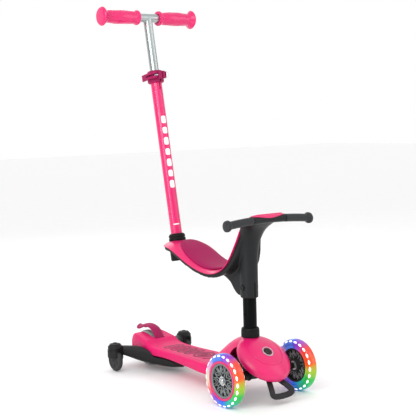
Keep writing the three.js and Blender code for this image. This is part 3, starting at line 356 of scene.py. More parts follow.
class Form:
    """A mesh in the making, in millimetres."""

    def __init__(self):
        self.mesh = bmesh.new()

    def shell(self, rings, closed=False):
        """Joins equal rings of points into a skin."""
        rows = [[self.mesh.verts.new(p) for p in ring] for ring in rings]
        pairs = list(zip(rows, rows[1:] + rows[:1])) if closed else list(zip(rows, rows[1:]))
        count = len(rows[0])
        for a, b in pairs:
            for i in range(count):
                j = (i + 1) % count
                self.mesh.faces.new((a[i], a[j], b[j], b[i]))
        if not closed:
            self.mesh.faces.new(rows[0][::-1])
            self.mesh.faces.new(rows[-1])
        return self

    def lathe(self, profile, sides=64, fillet=0.0, steps=3, bend=None):
        """Turns a closed profile of (radius, height) about Z."""
        outline = rounded(profile, fillet, steps)
        rings = []
        for k in range(sides):
            turn = TAU * k / sides
            ring = [(r * math.cos(turn), r * math.sin(turn), h) for r, h in outline]
            rings.append([bend(turn, *p) for p in ring] if bend else ring)
        return self.shell(rings, closed=True)

    def box(self, low, high):
        corners = [(x, y, z) for z in (low[2], high[2]) for x, y in (
            (low[0], low[1]), (high[0], low[1]), (high[0], high[1]), (low[0], high[1]))]
        return self.shell([corners[:4], corners[4:]])

    def moved(self, matrix):
        bmesh.ops.transform(self.mesh, matrix=matrix, verts=self.mesh.verts)
        return self

    def add(self, other):
        spare = bpy.data.meshes.new("spare")
        other.mesh.to_mesh(spare)
        self.mesh.from_mesh(spare)
        bpy.data.meshes.remove(spare)
        return self

    def made(self, name):
        """The finished mesh, welded, in the model's metres and place."""
        bmesh.ops.remove_doubles(self.mesh, verts=self.mesh.verts, dist=1e-4)
        bmesh.ops.dissolve_degenerate(self.mesh, edges=self.mesh.edges, dist=1e-5)
        bmesh.ops.recalc_face_normals(self.mesh, faces=self.mesh.faces)
        mesh = bpy.data.meshes.new(name)
        self.mesh.to_mesh(mesh)
        self.mesh.free()
        mesh.transform(Matrix.Translation(at(0, 0, 0)) @ Matrix.Scale(MM, 4))
        return mesh


def across(matrix=Matrix.Identity(4)):
    """Lays a form that was turned about Z along X."""
    return matrix @ Matrix.Rotation(math.radians(90), 4, "Y")


def shift(x, y, z):
    return Matrix.Translation((x, y, z))


def place_piece(name, mesh, finishes, body, replaces=(), origin=None, crisp=35):
    mesh.shade_smooth()
    mesh.set_sharp_from_angle(angle=math.radians(crisp))
    ob = bpy.data.objects.new(name, mesh)
    scene.collection.objects.link(ob)
    if origin is not None:
        mesh.transform(Matrix.Translation(-origin))
        ob.location = origin
    for material in (finishes if isinstance(finishes, (list, tuple)) else [finishes]):
        mesh.materials.append(material)
    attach(ob, body)
    if replaces:
        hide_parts(*replaces)
    return ob


def evaluated(ob, name):
    graph = bpy.context.evaluated_depsgraph_get()
    return bpy.data.meshes.new_from_object(ob.evaluated_get(graph), depsgraph=graph)


def worked(mesh, *steps):
    """Runs modifiers on a mesh and returns the result. A step is (kind, {setting: value})."""
    ob = bpy.data.objects.new("work", mesh)
    scene.collection.objects.link(ob)
    for kind, settings in steps:
        modifier = ob.modifiers.new(kind.lower(), kind)
        for key, value in settings.items():
            setattr(modifier, key, value)
    result = evaluated(ob, mesh.name)
    bpy.data.objects.remove(ob)
    return result


def carved(mesh, tools, how="DIFFERENCE"):
    """Cuts (or joins) closed tool meshes from a closed mesh."""
    for tool in tools:
        cutter = bpy.data.objects.new("cutter", tool)
        scene.collection.objects.link(cutter)
        mesh = worked(mesh, ("BOOLEAN", {"object": cutter, "operation": how, "solver": "EXACT"}))
        bpy.data.objects.remove(cutter)
    return mesh


def melted(mesh, voxel, smooth=6, strength=0.5):
    """Runs shells together into one skin, as a mould does, and softens the joins."""
    return worked(mesh, ("REMESH", {"mode": "VOXEL", "voxel_size": voxel * MM}),
                  ("SMOOTH", {"iterations": smooth, "factor": strength}))


def told(ob):
    low = [round(min(v.co[i] for v in ob.data.vertices) + ob.location[i], 4) for i in range(3)]
    high = [round(max(v.co[i] for v in ob.data.vertices) + ob.location[i], 4) for i in range(3)]
    print(f"{ob.name}: {len(ob.data.polygons)} faces, from {low} to {high}")
    return ob

# %% [markdown]
# ## Light-up front wheels
# The two front tyres are clear cast polyurethane with lamps inside: the light colours the tyre
# in bands round the wheel, and a row of oval lenses under the tread shines nearly white. The
# tyre is turned on the lathe. Its colour is worked out from the angle round the hub, in the
# wheel's own coordinates, so that the bands turn with the wheel.

# %% The glowing tyre finish
GLOW_STOPS = (
    (0.00, (0.05, 0.06, 0.55)), (0.05, (0.26, 0.05, 0.44)), (0.12, (0.68, 0.05, 0.03)),
    (0.21, (0.72, 0.08, 0.01)), (0.27, (0.30, 0.45, 0.02)), (0.33, (0.01, 0.44, 0.06)),
    (0.42, (0.0, 0.36, 0.26)), (0.50, (0.01, 0.12, 0.62)), (0.58, (0.18, 0.07, 0.52)),
    (0.65, (0.66, 0.10, 0.12)), (0.75, (0.56, 0.56, 0.40)), (0.85, (0.52, 0.26, 0.46)),
    (0.92, (0.06, 0.16, 0.60)),
)


def sums(nodes, links, operation, a, b=None):
    node = nodes.new("ShaderNodeMath")
    node.operation = operation
    for socket, value in zip(node.inputs, (a, b)):
        if value is None:
            continue
        if isinstance(value, (int, float)):
            socket.default_value = value
        else:
            links.new(value, socket)
    return node.outputs[0]


def turn_fraction(nodes, links):
    """How far clockwise round the wheel a point is, from the top: 0 to 1."""
    place = nodes.new("ShaderNodeTexCoord")
    parts = nodes.new("ShaderNodeSeparateXYZ")
    links.new(place.outputs["Object"], parts.inputs["Vector"])
    side = sums(nodes, links, "MULTIPLY", parts.outputs["Y"], -1)
    angle = sums(nodes, links, "ARCTAN2", side, parts.outputs["Z"])
    share = sums(nodes, links, "DIVIDE", angle, TAU)
    return sums(nodes, links, "FRACT", sums(nodes, links, "ADD", share, 1))


def glow(name, stops, strength, roughness, transmission):
    material = bpy.data.materials.new(name)
    material.use_nodes = True
    nodes, links = material.node_tree.nodes, material.node_tree.links
    shader = nodes["Principled BSDF"]
    ramp = nodes.new("ShaderNodeValToRGB")
    ramp.color_ramp.interpolation = "EASE"
    while len(ramp.color_ramp.elements) < len(stops):
        ramp.color_ramp.elements.new(0.5)
    for element, (position, colour) in zip(ramp.color_ramp.elements, stops):
        element.position = position
        element.color = colour + (1,)
    place = nodes.new("ShaderNodeTexCoord")
    swirl = noise(nodes, links, place, 60, 2)
    share = sums(nodes, links, "ADD", turn_fraction(nodes, links),
                 sums(nodes, links, "MULTIPLY", sums(nodes, links, "SUBTRACT", swirl.outputs["Fac"], 0.5),
                      0.05))
    links.new(share, ramp.inputs["Fac"])
    links.new(ramp.outputs["Color"], shader.inputs["Base Color"])
    links.new(ramp.outputs["Color"], shader.inputs["Emission Color"])
    shader.inputs["Emission Strength"].default_value = strength
    shader.inputs["Transmission Weight"].default_value = transmission
    shader.inputs["IOR"].default_value = 1.45
    links.new(spread(nodes, links, swirl.outputs["Fac"], roughness - 0.05, roughness + 0.05),
              shader.inputs["Roughness"])
    return material


GLOW_TYRE = glow("glowing_tyre", GLOW_STOPS, 0.24, 0.16, 0.1)
GLOW_RING = glow("glowing_core", GLOW_STOPS, 0.5, 0.3, 0.0)


def lamp_white(name, strength):
    material = bpy.data.materials.new(name)
    material.use_nodes = True
    nodes, links = material.node_tree.nodes, material.node_tree.links
    shader = nodes["Principled BSDF"]
    place = nodes.new("ShaderNodeTexCoord")
    milk = noise(nodes, links, place, 300, 2)
    tint = nodes.new("ShaderNodeMix")
    tint.data_type = "RGBA"
    tint.inputs["A"].default_value = (0.86, 0.9, 1, 1)
    tint.inputs["B"].default_value = (1, 1, 1, 1)
    links.new(milk.outputs["Fac"], tint.inputs["Factor"])
    links.new(tint.outputs["Result"], shader.inputs["Base Color"])
    links.new(tint.outputs["Result"], shader.inputs["Emission Color"])
    shader.inputs["Emission Strength"].default_value = strength
    links.new(spread(nodes, links, milk.outputs["Fac"], 0.15, 0.3), shader.inputs["Roughness"])
    return material


LENS_WHITE = lamp_white("lens_white", 0.9)
print("glow bands round the wheel:", len(GLOW_STOPS))

# %% [markdown]
# The tyre's section is a flat tread between two round shoulders. The lenses are shallow ovals
# set in the outer shoulder, one after another round the wheel, and again on the inner one.

# %% Front tyres with their lenses
SIDES = {"right": -1, "left": 1}
TYRE_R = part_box("front_tyre_left")[1].z / MM / 2
TYRE_HALF = (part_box("front_tyre_left")[1].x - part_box("front_tyre_left")[0].x) / MM / 2
LENS_COUNT = 22
LENS_LONG, LENS_WIDE = 6.5, 3.6
LENS_UNDER_TREAD, LENS_INSET = 3.3, 2.5
LENS_SLOPE = math.radians(42)


def tyre_outline(radius, half, inner):
    """From the inner edge of one sidewall over the tread to the other."""
    shoulder = 9.5
    points = [(inner, -half + 1.2), (radius - shoulder - 1.5, -half)]
    for k in range(9):
        turn = math.radians(90 * k / 8)
        points.append((radius - shoulder + shoulder * math.sin(turn), -half + 7.5 - 7.5 * math.cos(turn)))
    return points + [(r, -h) for r, h in reversed(points)]


def lens(form, centre_turn, shoulder_r, shoulder_h, slope, long_half, wide_half, dome=0.7):
    """A shallow oval blister lying on the tyre's shoulder."""
    rings = []
    for share, height in ((1.0, -0.5), (0.98, 0.1), (0.8, 0.5 * dome), (0.45, 0.85 * dome), (0.08, dome)):
        ring = []
        for i in range(16):
            a = TAU * i / 16
            along, side = long_half * share * math.cos(a), wide_half * share * math.sin(a)
            r = shoulder_r + side * math.sin(slope) + height * math.cos(slope)
            h = shoulder_h - side * math.cos(slope) + height * math.sin(slope)
            turn = centre_turn + along / shoulder_r
            ring.append((r * math.cos(turn), r * math.sin(turn), h))
        rings.append(ring)
    form.shell(rings)


for side, way in SIDES.items():
    hub = middle(f"front_tyre_{side}")
    outward = across() if way > 0 else across(Matrix.Rotation(math.pi, 4, "Z"))
    seat_r = (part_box(f"front_light_ring_{side}")[1].z - hub.z) / MM + 0.3
    in_place = shift(hub.x / MM, 0, hub.z / MM) @ outward
    tyre = Form().lathe(tyre_outline(TYRE_R, TYRE_HALF, seat_r), sides=112)
    told(place_piece(f"clear_tyre_{side}", tyre.moved(in_place).made("tyre"), GLOW_TYRE,
                     f"front_wheel_{side}", [f"front_tyre_{side}"], origin=hub, crisp=50))
    lenses = Form()
    for k in range(LENS_COUNT):
        turn = TAU * (k + 0.5) / LENS_COUNT
        for side_of_tread in (1, -1):
            lens(lenses, turn, TYRE_R - LENS_UNDER_TREAD, side_of_tread * (TYRE_HALF - LENS_INSET),
                 side_of_tread * LENS_SLOPE, LENS_LONG, LENS_WIDE)
    told(place_piece(f"lamp_lenses_{side}", lenses.moved(in_place).made("lenses"), LENS_WHITE,
                     f"front_wheel_{side}", origin=hub, crisp=80))

# %% [markdown]
# Inside the tyre sits a translucent ring that carries the lamps, then the moulded rim. The rim is
# a dished black wheel with a grey lip, and a pink hoop is pressed on its outer face.

# %% Light ring, rim and pink hoop


def wheel_piece(name, node, profile, finishes, side, fillet=0.8, sides=96, crisp=30):
    hub = middle(f"front_tyre_{side}")
    outward = across() if SIDES[side] > 0 else across(Matrix.Rotation(math.pi, 4, "Z"))
    form = Form().lathe(profile, sides=sides, fillet=fillet)
    mesh = form.moved(shift(hub.x / MM, 0, hub.z / MM) @ outward).made(name)
    return told(place_piece(f"{name}_{side}", mesh, finishes, f"front_wheel_{side}",
                            [node] if node else (), origin=hub, crisp=crisp))


def node_span(node, side):
    """Outer radius, and the heights of its two faces measured outward from the wheel's middle."""
    low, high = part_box(node)
    hub = middle(f"front_tyre_{side}")
    faces = sorted((x - hub.x) / MM * SIDES[side] for x in (low.x, high.x))
    return (high.z - low.z) / MM / 2, faces[0], faces[1]


for side in SIDES:
    ring_r, ring_in, ring_out = node_span(f"front_light_ring_{side}", side)
    rim_r, rim_in, rim_out = node_span(f"front_rim_{side}", side)
    hoop_r, hoop_in, hoop_out = node_span(f"front_trim_ring_{side}", side)
    wheel_piece("light_core", f"front_light_ring_{side}", [
        (rim_r + 0.3, ring_in), (ring_r, ring_in), (ring_r, ring_out), (rim_r + 0.3, ring_out)],
        GLOW_RING, side)
    dish = rim_out - 7.5
    wheel_piece("dished_rim", f"front_rim_{side}", [
        (11.0, rim_in), (15, rim_in), (16, -2), (rim_r - 4, -2), (rim_r - 3.4, rim_in), (rim_r, rim_in),
        (rim_r, rim_out), (rim_r - 2.6, rim_out), (rim_r - 3.4, dish + 2), (rim_r - 4.5, dish),
        (16, dish), (15, rim_out - 4), (11, rim_out - 4)],
        VOID_BLACK, side, fillet=0.7)
    wheel_piece("rim_lip", None, [
        (rim_r - 4.4, rim_out - 2.6), (rim_r - 1.8, rim_out - 0.8), (rim_r - 0.6, rim_out + 0.9),
        (rim_r - 1.6, rim_out + 1.5), (rim_r - 4.0, rim_out + 0.4), (rim_r - 5.2, rim_out - 1.8)],
        RIM_GREY, side, fillet=0.6)
    wheel_piece("pink_hoop", f"front_trim_ring_{side}", [
        (rim_r - 0.2, hoop_in), (hoop_r, hoop_in), (hoop_r, hoop_out - 0.7), (hoop_r - 1.6, hoop_out),
        (rim_r + 1.2, hoop_out), (rim_r - 0.2, hoop_out - 0.8)],
        PINK, side, fillet=0.6)

# %% [markdown]
# ## Branching spokes
# The wheel's face is a web of thin raised ribs, like twigs: a stem leaves the hub, forks once and
# reaches the rim, and an arch stands on the rim between each pair of stems. Ribs are drawn as
# lines on a disc and given a flat-topped section, because that is what a mould leaves.

# %% Spokes
STEMS = 7
RIB_WIDE, RIB_HIGH = 1.5, 1.7


def spline(points, steps):
    """A smooth line through points, by Catmull-Rom."""
    ends = [points[0] * 2 - points[1], *points, points[-1] * 2 - points[-2]]
    out = []
    for i in range(1, len(ends) - 2):
        p0, p1, p2, p3 = ends[i - 1:i + 3]
        for k in range(steps):
            t = k / steps
            out.append(0.5 * ((p1 * 2) + (p2 - p0) * t + (p0 * 2 - p1 * 5 + p2 * 4 - p3) * t * t
                              + (p1 * 3 - p0 - p2 * 3 + p3) * t * t * t))
    out.append(points[-1])
    return out


def rib(form, line, base, wide=RIB_WIDE, high=RIB_HIGH):
    """A raised rib along a flat line, with sloping sides."""
    rings = []
    for i, p in enumerate(line):
        along = line[min(i + 1, len(line) - 1)] - line[max(i - 1, 0)]
        out = Vector((-along.y, along.x)).normalized()
        section = ((-0.5, 0), (-0.36, 0.8), (-0.2, 1), (0.2, 1), (0.36, 0.8), (0.5, 0))
        rings.append([(p.x + out.x * wide * s, p.y + out.y * wide * s, base + high * t)
                      for s, t in section])
    form.shell(rings)


def polar(radius, turn):
    return Vector((radius * math.cos(turn), radius * math.sin(turn)))


def spoke_web(form, base, reach, hub_r=9.0):
    step = TAU / STEMS
    for k in range(STEMS):
        a = k * step
        fork = hub_r + (reach - hub_r) * 0.42
        rib(form, spline([polar(hub_r, a), polar(fork, a + 0.02)], 4), base)
        for way in (-1, 1):
            rib(form, spline([polar(fork, a + 0.02), polar(fork + 5, a + 0.10 * way),
                              polar(fork + 11, a + 0.17 * way), polar(reach, a + 0.15 * way)], 5), base)
        low = hub_r + (reach - hub_r) * 0.30
        b = a + step / 2
        rib(form, spline([polar(reach, b - 0.30), polar(reach - 7, b - 0.25), polar(low + 5, b - 0.20),
                          polar(low, b), polar(low + 5, b + 0.20), polar(reach - 7, b + 0.25),
                          polar(reach, b + 0.30)], 5), base)
        rib(form, spline([polar(reach, b - 0.14), polar(reach - 6, b - 0.13), polar(reach - 10, b),
                          polar(reach - 6, b + 0.13), polar(reach, b + 0.14)], 5), base, wide=1.2)


for side in SIDES:
    hub = middle(f"front_tyre_{side}")
    web_r, _, web_out = node_span(f"front_spokes_{side}", side)
    outward = across() if SIDES[side] > 0 else across(Matrix.Rotation(math.pi, 4, "Z"))
    form = Form()
    spoke_web(form, web_out - RIB_HIGH - 1.4, web_r + 0.8)
    form.lathe([(7.6, web_out - 3.4), (10.2, web_out - 3.4), (10.0, web_out - 1.4), (8.8, web_out - 0.9),
                (7.6, web_out - 1.2)], sides=48, fillet=0.3)
    inside = Form()
    spoke_web(inside, 0, web_r + 0.8, hub_r=14)
    inside.moved(shift(0, 0, -2) @ Matrix.Scale(-1, 4, (0, 0, 1)))
    form.add(inside)
    mesh = form.moved(shift(hub.x / MM, 0, hub.z / MM) @ outward).made("spokes")
    told(place_piece(f"spoke_web_{side}", mesh, SPOKE_GREY, f"front_wheel_{side}",
                     [f"front_spokes_{side}"], origin=hub, crisp=40))

# %% [markdown]
# ## Bearings and axle ends
# Each wheel runs on two ball bearings. From outside only their ground steel rings and the thin
# shield between them show, so each bearing is one turned ring with those three steps. The bolt
# in the middle is a domed cap with a six-sided socket.

# %% Bearings and bolts


def bearing_profile(outer, low, high, bore=4.35):
    inset = 0.5
    return [(bore, low), (6.2, low), (6.4, low + inset), (outer - 2.2, low + inset), (outer - 2.0, low),
            (outer, low), (outer, high), (outer - 2.0, high), (outer - 2.2, high - inset),
            (6.4, high - inset), (6.2, high), (bore, high)]


def bearing(node, body):
    low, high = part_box(node)
    hub = (low + high) / 2
    form = Form().lathe(bearing_profile((high.z - low.z) / MM / 2, low.x / MM, high.x / MM), sides=48,
                        fillet=0.3, steps=2)
    mesh = form.moved(shift(0, (hub.y - FRONT_AXLE.y) / MM, hub.z / MM) @ across()).made(node)
    return place_piece(f"ball_{node}", mesh, STEEL, body, [node], crisp=30)


def socket_head(form, radius, high, socket=2.7, deep=1.6):
    """A domed cap, drawn up from height 0; its six-sided hole is cut into it afterwards."""
    outline = [(0, 0), (radius, 0), (radius, high * 0.35), (radius * 0.86, high * 0.8),
               (radius * 0.62, high), (socket, high)]
    form.lathe(outline + [(0, high)], sides=36, fillet=0.5)
    return form


for side, way in SIDES.items():
    for face in ("outer", "inner"):
        bearing(f"front_bearing_{face}_{side}", f"front_wheel_{side}")
    low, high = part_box(f"front_bolt_{side}")
    hub = (low + high) / 2
    tall = (high.x - low.x) / MM
    base = (low.x if way > 0 else high.x) / MM
    outward = across() if way > 0 else across(Matrix.Rotation(math.pi, 4, "Z"))
    seat = shift(base, 0, hub.z / MM) @ outward
    cap = socket_head(Form(), (high.z - low.z) / MM / 2, tall).moved(seat).made("bolt")
    hexagon = Form().lathe([(0, tall - 1.5), (2.9, tall - 1.5), (2.9, tall + 2), (0, tall + 2)], sides=6)
    cap = carved(cap, [hexagon.moved(seat).made("hex")])
    told(place_piece(f"axle_bolt_{side}", cap, STEEL, "truck", [f"front_bolt_{side}"], crisp=30))
for side in ("right", "left"):
    bearing(f"rear_bearing_{side}", "rear_wheel")
frame["nodes"]["front_axle"].data.materials.clear()
frame["nodes"]["front_axle"].data.materials.append(STEEL)

# %% [markdown]
# ## Rear wheel
# The rear wheel is the same cast polyurethane without lamps, so it looks like cloudy grey glass
# round a dark hub. It is partly hidden by the deck's cheeks and the brake.

# %% Rear wheel
CLOUDY = finish("cloudy_tyre", (0.20, 0.24, 0.245), 0.22, grain=120, bump=0.05, drift=0.35,
                second=(0.34, 0.38, 0.36), coat=0.2)
rear_r = (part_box("rear_tyre")[1].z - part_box("rear_tyre")[0].z) / MM / 2
rear_half = (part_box("rear_tyre")[1].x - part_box("rear_tyre")[0].x) / MM / 2
rear_rim_r = (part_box("rear_rim")[1].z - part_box("rear_rim")[0].z) / MM / 2
rear_rim_half = (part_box("rear_rim")[1].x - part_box("rear_rim")[0].x) / MM / 2
REAR_PLACE = shift(0, WHEELBASE, REAR_AXLE.z / MM) @ across()


def rear_piece(name, profile, finishes, nodes, fillet=0.8, sides=80):
    mesh = Form().lathe(profile, sides=sides, fillet=fillet).moved(REAR_PLACE).made(name)
    return told(place_piece(name, mesh, finishes, "rear_wheel", nodes, origin=REAR_AXLE, crisp=40))


rear_piece("rear_tyre_cast", tyre_outline(rear_r, rear_half, rear_rim_r + 0.3), CLOUDY,
           ["rear_tyre"], fillet=0)
rear_piece("rear_rim_dished", [
    (11.2, -rear_rim_half), (15, -rear_rim_half), (16, -3), (rear_rim_r - 5, -3),
    (rear_rim_r - 4, -rear_rim_half), (rear_rim_r, -rear_rim_half), (rear_rim_r, rear_rim_half),
    (rear_rim_r - 4, rear_rim_half), (rear_rim_r - 5, 3), (16, 3), (15, rear_rim_half),
    (11.2, rear_rim_half)], VOID_BLACK, ["rear_rim"])
spokes = Form()
spoke_web(spokes, 3, rear_rim_r - 3, hub_r=14)
under = Form()
spoke_web(under, 3, rear_rim_r - 3, hub_r=14)
spokes.add(under.moved(Matrix.Scale(-1, 4, (0, 0, 1))))
told(place_piece("rear_spoke_web", spokes.moved(REAR_PLACE).made("rear_spokes"), SPOKE_GREY,
                 "rear_wheel", origin=REAR_AXLE, crisp=40))

# %% [markdown]
# ## Deck
# The deck is one pink moulding: broad at the hood, narrow at the waist, with two high cheeks
# round the rear wheel. It is lofted through cross-sections. Each section is half drawn as a list of
# corners (flat top, a fine crease beside it, a round shoulder, a side that leans in, a round
# bottom edge), filleted and mirrored, so that the crease runs along the whole deck.

# %% Deck body
DECK_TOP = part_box("deck_grip")[1].z / MM - 0.8
POCKET_HALF = 14.5
POCKET_FRONT = WHEELBASE - 54.7
# (distance back, half width, top at the shoulder, floor)
DECK_STATIONS = (
    (118, 56.6, 63.5, 37), (130, 56.5, 64, 36.5), (150, 56, 64, 36), (175, 54.5, 64, 36), (200, 52.5, 64, 37),
    (230, 50, 64, 38.5), (262, 48, 64, 40), (290, 47, 64, 41.5), (320, 46.8, 64, 42.5), (345, 47, 64.2, 42),
    (365, 47.4, 65, 41), (385, 47.8, 68.5, 40), (400, 47.6, 76.4, 39.2), (415, 46.8, 79.5, 38.6),
    (430, 45.6, 82.4, 38.2), (443, 44.2, 85, 38), (455, 42.6, 86.2, 38), (466, 40.6, 85, 38.2),
    (475, 38.2, 80, 38.6), (483, 34.8, 71.5, 39.5), (489, 30.5, 60, 41), (492.5, 26, 52, 43),
)


def spline_rows(rows, steps):
    """Catmull-Rom through rows of any length."""
    ends = [[2 * a - b for a, b in zip(rows[0], rows[1])], *rows,
            [2 * a - b for a, b in zip(rows[-1], rows[-2])]]
    out = []
    for i in range(1, len(ends) - 2):
        for k in range(steps):
            t = k / steps
            out.append([0.5 * (2 * b + (c - a) * t + (2 * a - 5 * b + 4 * c - d) * t * t
                               + (3 * b - a - 3 * c + d) * t ** 3)
                        for a, b, c, d in zip(*ends[i - 1:i + 3])])
    return out + [list(rows[-1])]


def deck_section(y, half, top, floor):
    """One closed ring across the deck, from the middle of the top round by +X."""
    side = top - floor
    crease = 1.1 if side > 12 else 0.3
    rim = half - 10
    half_line = [
        (0, top + 0.35), (rim * 0.6, top + 0.3), (rim, top), (rim + 0.7, top - crease),
        (rim + 1.7, top - crease), (rim + 2.4, top + 0.1), (half - 3, top - 1.2), (half, top - side * 0.28),
        (half - 0.6, top - side * 0.62), (half - 2.2, floor + side * 0.12), (half - 7, floor),
        (half * 0.5, floor - 0.4)]
    line = rounded([Vector(p) for p in half_line], 3.2, 3, closed=False)
    keep = [p for p in line if p[0] > 0.01]
    mirror = [(-x, z) for x, z in reversed(keep)]
    loop = [(0, half_line[0][1])] + keep + [(0, floor - 0.4)] + mirror
    return [(x, y, z) for x, z in loop]


deck_form = Form().shell([deck_section(*row) for row in spline_rows(DECK_STATIONS, 4)])
deck_mesh = deck_form.made("deck_body")
pocket = Form()
pocket_line = rounded([(POCKET_FRONT, -5), (POCKET_FRONT, 57), (POCKET_FRONT + 3, 140), (560, 140),
                       (560, -5)],
                      6, 3, closed=False)
pocket.shell([[(x, y, z) for y, z in pocket_line] for x in (-POCKET_HALF, POCKET_HALF)])
axle_way = Form().lathe([(0, -80), (4.4, -80), (4.4, 80), (0, 80)], sides=24)
axle_way.moved(shift(0, WHEELBASE, REAR_AXLE.z / MM) @ across())
belly = Form().box((-34, 150, 20), (34, POCKET_FRONT - 12, 47))
deck_mesh = carved(deck_mesh, [f.made("tool") for f in (pocket, axle_way, belly)])
deck_ob = place_piece("deck_moulding", deck_mesh, PINK_DECK, "deck", ["deck"], crisp=38)
told(deck_ob)

# %% [markdown]
# A fine groove loops round each rear cheek and follows the deck's edge. It is drawn as a thin
# dark-pink line set a little into the plastic; the dark pink is painted shade of the groove.

# %% Cheek grooves
# Painted shade: the groove's shadow is given to this cord as a darker pink colour.
GROOVE_SHADE = finish("groove_painted_shade", (0.42, 0.008, 0.10), 0.6, grain=900, bump=0.05, drift=0.05)


def tube(form, line, radius, sides=8):
    """A round cord along a line of points."""
    rings = []
    count = len(line)
    guide = Vector((0, 0, 1))
    for i, p in enumerate(line):
        along = (line[min(i + 1, count - 1)] - line[max(i - 1, 0)]).normalized()
        side = along.cross(guide)
        if side.length < 0.05:
            side = along.cross(Vector((0, 1, 0)))
        side.normalize()
        up = side.cross(along)
        r = radius(i / max(count - 1, 1)) if callable(radius) else radius
        rings.append([p + side * r * math.cos(TAU * k / sides) + up * r * math.sin(TAU * k / sides)
                      for k in range(sides)])
    return form.shell(rings)


def half_width(y):
    rows = DECK_STATIONS
    for a, b in zip(rows, rows[1:]):
        if a[0] <= y <= b[0]:
            t = (y - a[0]) / (b[0] - a[0])
            return [p + (q - p) * t for p, q in zip(a, b)][1:]
    return rows[-1][1:]


grooves = Form()
for way in (-1, 1):
    line = []
    for y, drop in ((372, 0.0), (385, 4.5), (402, 7.5), (420, 9.5), (440, 12), (456, 15), (468, 20),
                    (474, 27)):
        half, top, _ = half_width(y)
        line.append(Vector((way * (half - 0.15 - (1.2 if drop < 5 else 0.2)), y, top - 7 - drop)))
    tube(grooves, spline(line, 4), 0.45, sides=6)
told(place_piece("cheek_grooves", grooves.made("grooves"), GROOVE_SHADE, "deck", crisp=60))

# %% [markdown]
# ## Grip pattern
# The child stands on a raised rubber pattern. A row of plain rounded motifs in dark magenta is
# used: open frames with a bar inside, one bigger oval towards the front and two arrow strokes.
# Each motif is a flat band with a soft edge that stands under a millimetre proud.

# %% Grip motifs
GRIP_RUBBER = finish("grip_rubber", (0.17, 0.004, 0.042), 0.6, grain=420, bump=0.5, drift=0.3,
                     second=(0.24, 0.006, 0.065))


def band(form, line, wide, low, high, closed=True):
    """A flat raised band along a line in the plane, with sloping edges."""
    count = len(line)
    rings = []
    for i, p in enumerate(line):
        if closed:
            along = line[(i + 1) % count] - line[i - 1]
        else:
            along = line[min(i + 1, count - 1)] - line[max(i - 1, 0)]
        out = Vector((along.y, -along.x)).normalized()
        section = ((-0.5, low), (-0.42, high), (0.42, high), (0.5, low))
        rings.append([(p.x + out.x * wide * s, p.y + out.y * wide * s, z) for s, z in section])
    form.shell(rings, closed=closed)


def soft_box(cx, cy, hx, hy, corner, steps=6):
    out = []
    for sx, sy, first in ((1, 1, 0), (-1, 1, 1), (-1, -1, 2), (1, -1, 3)):
        for k in range(steps + 1):
            a = math.radians(90 * (first + k / steps))
            out.append(Vector((cx + sx * (hx - corner) + corner * math.cos(a),
                               cy + sy * (hy - corner) + corner * math.sin(a))))
    return out


grip_low, grip_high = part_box("deck_grip")
grip_half = (grip_high.x - grip_low.x) / MM / 2
grip_front = (grip_low.y - FRONT_AXLE.y) / MM
grip_back = (grip_high.y - FRONT_AXLE.y) / MM
low, high = DECK_TOP - 0.6, DECK_TOP + 0.8
grip = Form()
oval_y = grip_front + 46
for wide, hx, hy in ((7.0, grip_half - 3.9, 22), (5.2, 16, 12)):
    ring = [Vector((hx * math.cos(TAU * k / 48), oval_y + hy * math.sin(TAU * k / 48))) for k in range(48)]
    band(grip, ring, wide, low, high)
band(grip, [Vector((9 * math.cos(TAU * k / 24), oval_y + 4.5 * math.sin(TAU * k / 24))) for k in range(24)],
     5.2, low, high)
pitch = (grip_back - oval_y - 26) / 4
for k in range(4):
    y = oval_y + 26 + pitch * (k + 0.5)
    band(grip, soft_box(0, y, grip_half - 3.6, pitch / 2 - 4.5, 8), 6.4, low, high)
    reach = grip_half - 13
    band(grip, [Vector((-reach, y)), Vector((-reach / 2, y + 1.5)), Vector((reach / 2, y - 1.5)),
                Vector((reach, y))], 5.4, low, high, closed=False)
for way in (-1, 1):
    band(grip, [Vector((way * 4, grip_front + 4)), Vector((way * 16, grip_front + 8)),
                Vector((way * (grip_half - 3), grip_front + 17))], 6.0, low, high, closed=False)
told(place_piece("grip_motifs", grip.made("grip"), GRIP_RUBBER, "deck", ["deck_grip"], crisp=30))

# %% [markdown]
# ## Rear brake
# The brake is a curved magenta plate over the rear wheel. The heel presses its raised lip, and it
# turns about a pin in front of the wheel. It is lofted along its ridge: the width narrows a
# little towards the lip, the top is crowned, and the underside is hollow.

# %% Brake fender
fender_low, fender_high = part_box("brake_fender")
FENDER_HALF = (fender_high.x - fender_low.x) / MM / 2
hinge_y = (joint("brake_press")["pos_m"][1] - FRONT_AXLE.y) / MM
hinge_z = joint("brake_press")["pos_m"][2] / MM
RIDGE = ((400.5, 70), (402.5, 80), (407, 89.5), (414, 97.5), (423, 103.5), (434, 107.6), (446, 109),
         (457, 107.8),
         (467, 105), (476, 101.8), (483, 100), (489, 100), (493, 101.6))
THICK = (5, 5.2, 5.4, 5.4, 5.4, 5.4, 5.4, 5.4, 5.4, 5.4, 5.6, 5.8, 5.0)



def fender_section(point, along, half, thick, sag=2.6):
    """A crowned strip across X with round edges."""
    normal = Vector((0, -along.z, along.y))
    ring = []
    for s in (-1, -0.85, -0.6, -0.3, 0, 0.3, 0.6, 0.85, 1):
        drop = sag * abs(s) ** 2.6
        ring.append(point + Vector((half * s, 0, 0)) - normal * drop)
    edge = [point + Vector((half * 1.02, 0, 0)) - normal * (sag + thick * 0.45)]
    for s in (0.86, 0.6, 0.3, 0, -0.3, -0.6, -0.86):
        drop = sag * abs(s) ** 2.6
        ring_point = point + Vector((half * s, 0, 0)) - normal * (drop + thick)
        edge.append(ring_point)
    edge.append(point + Vector((-half * 1.02, 0, 0)) - normal * (sag + thick * 0.45))
    return ring + edge


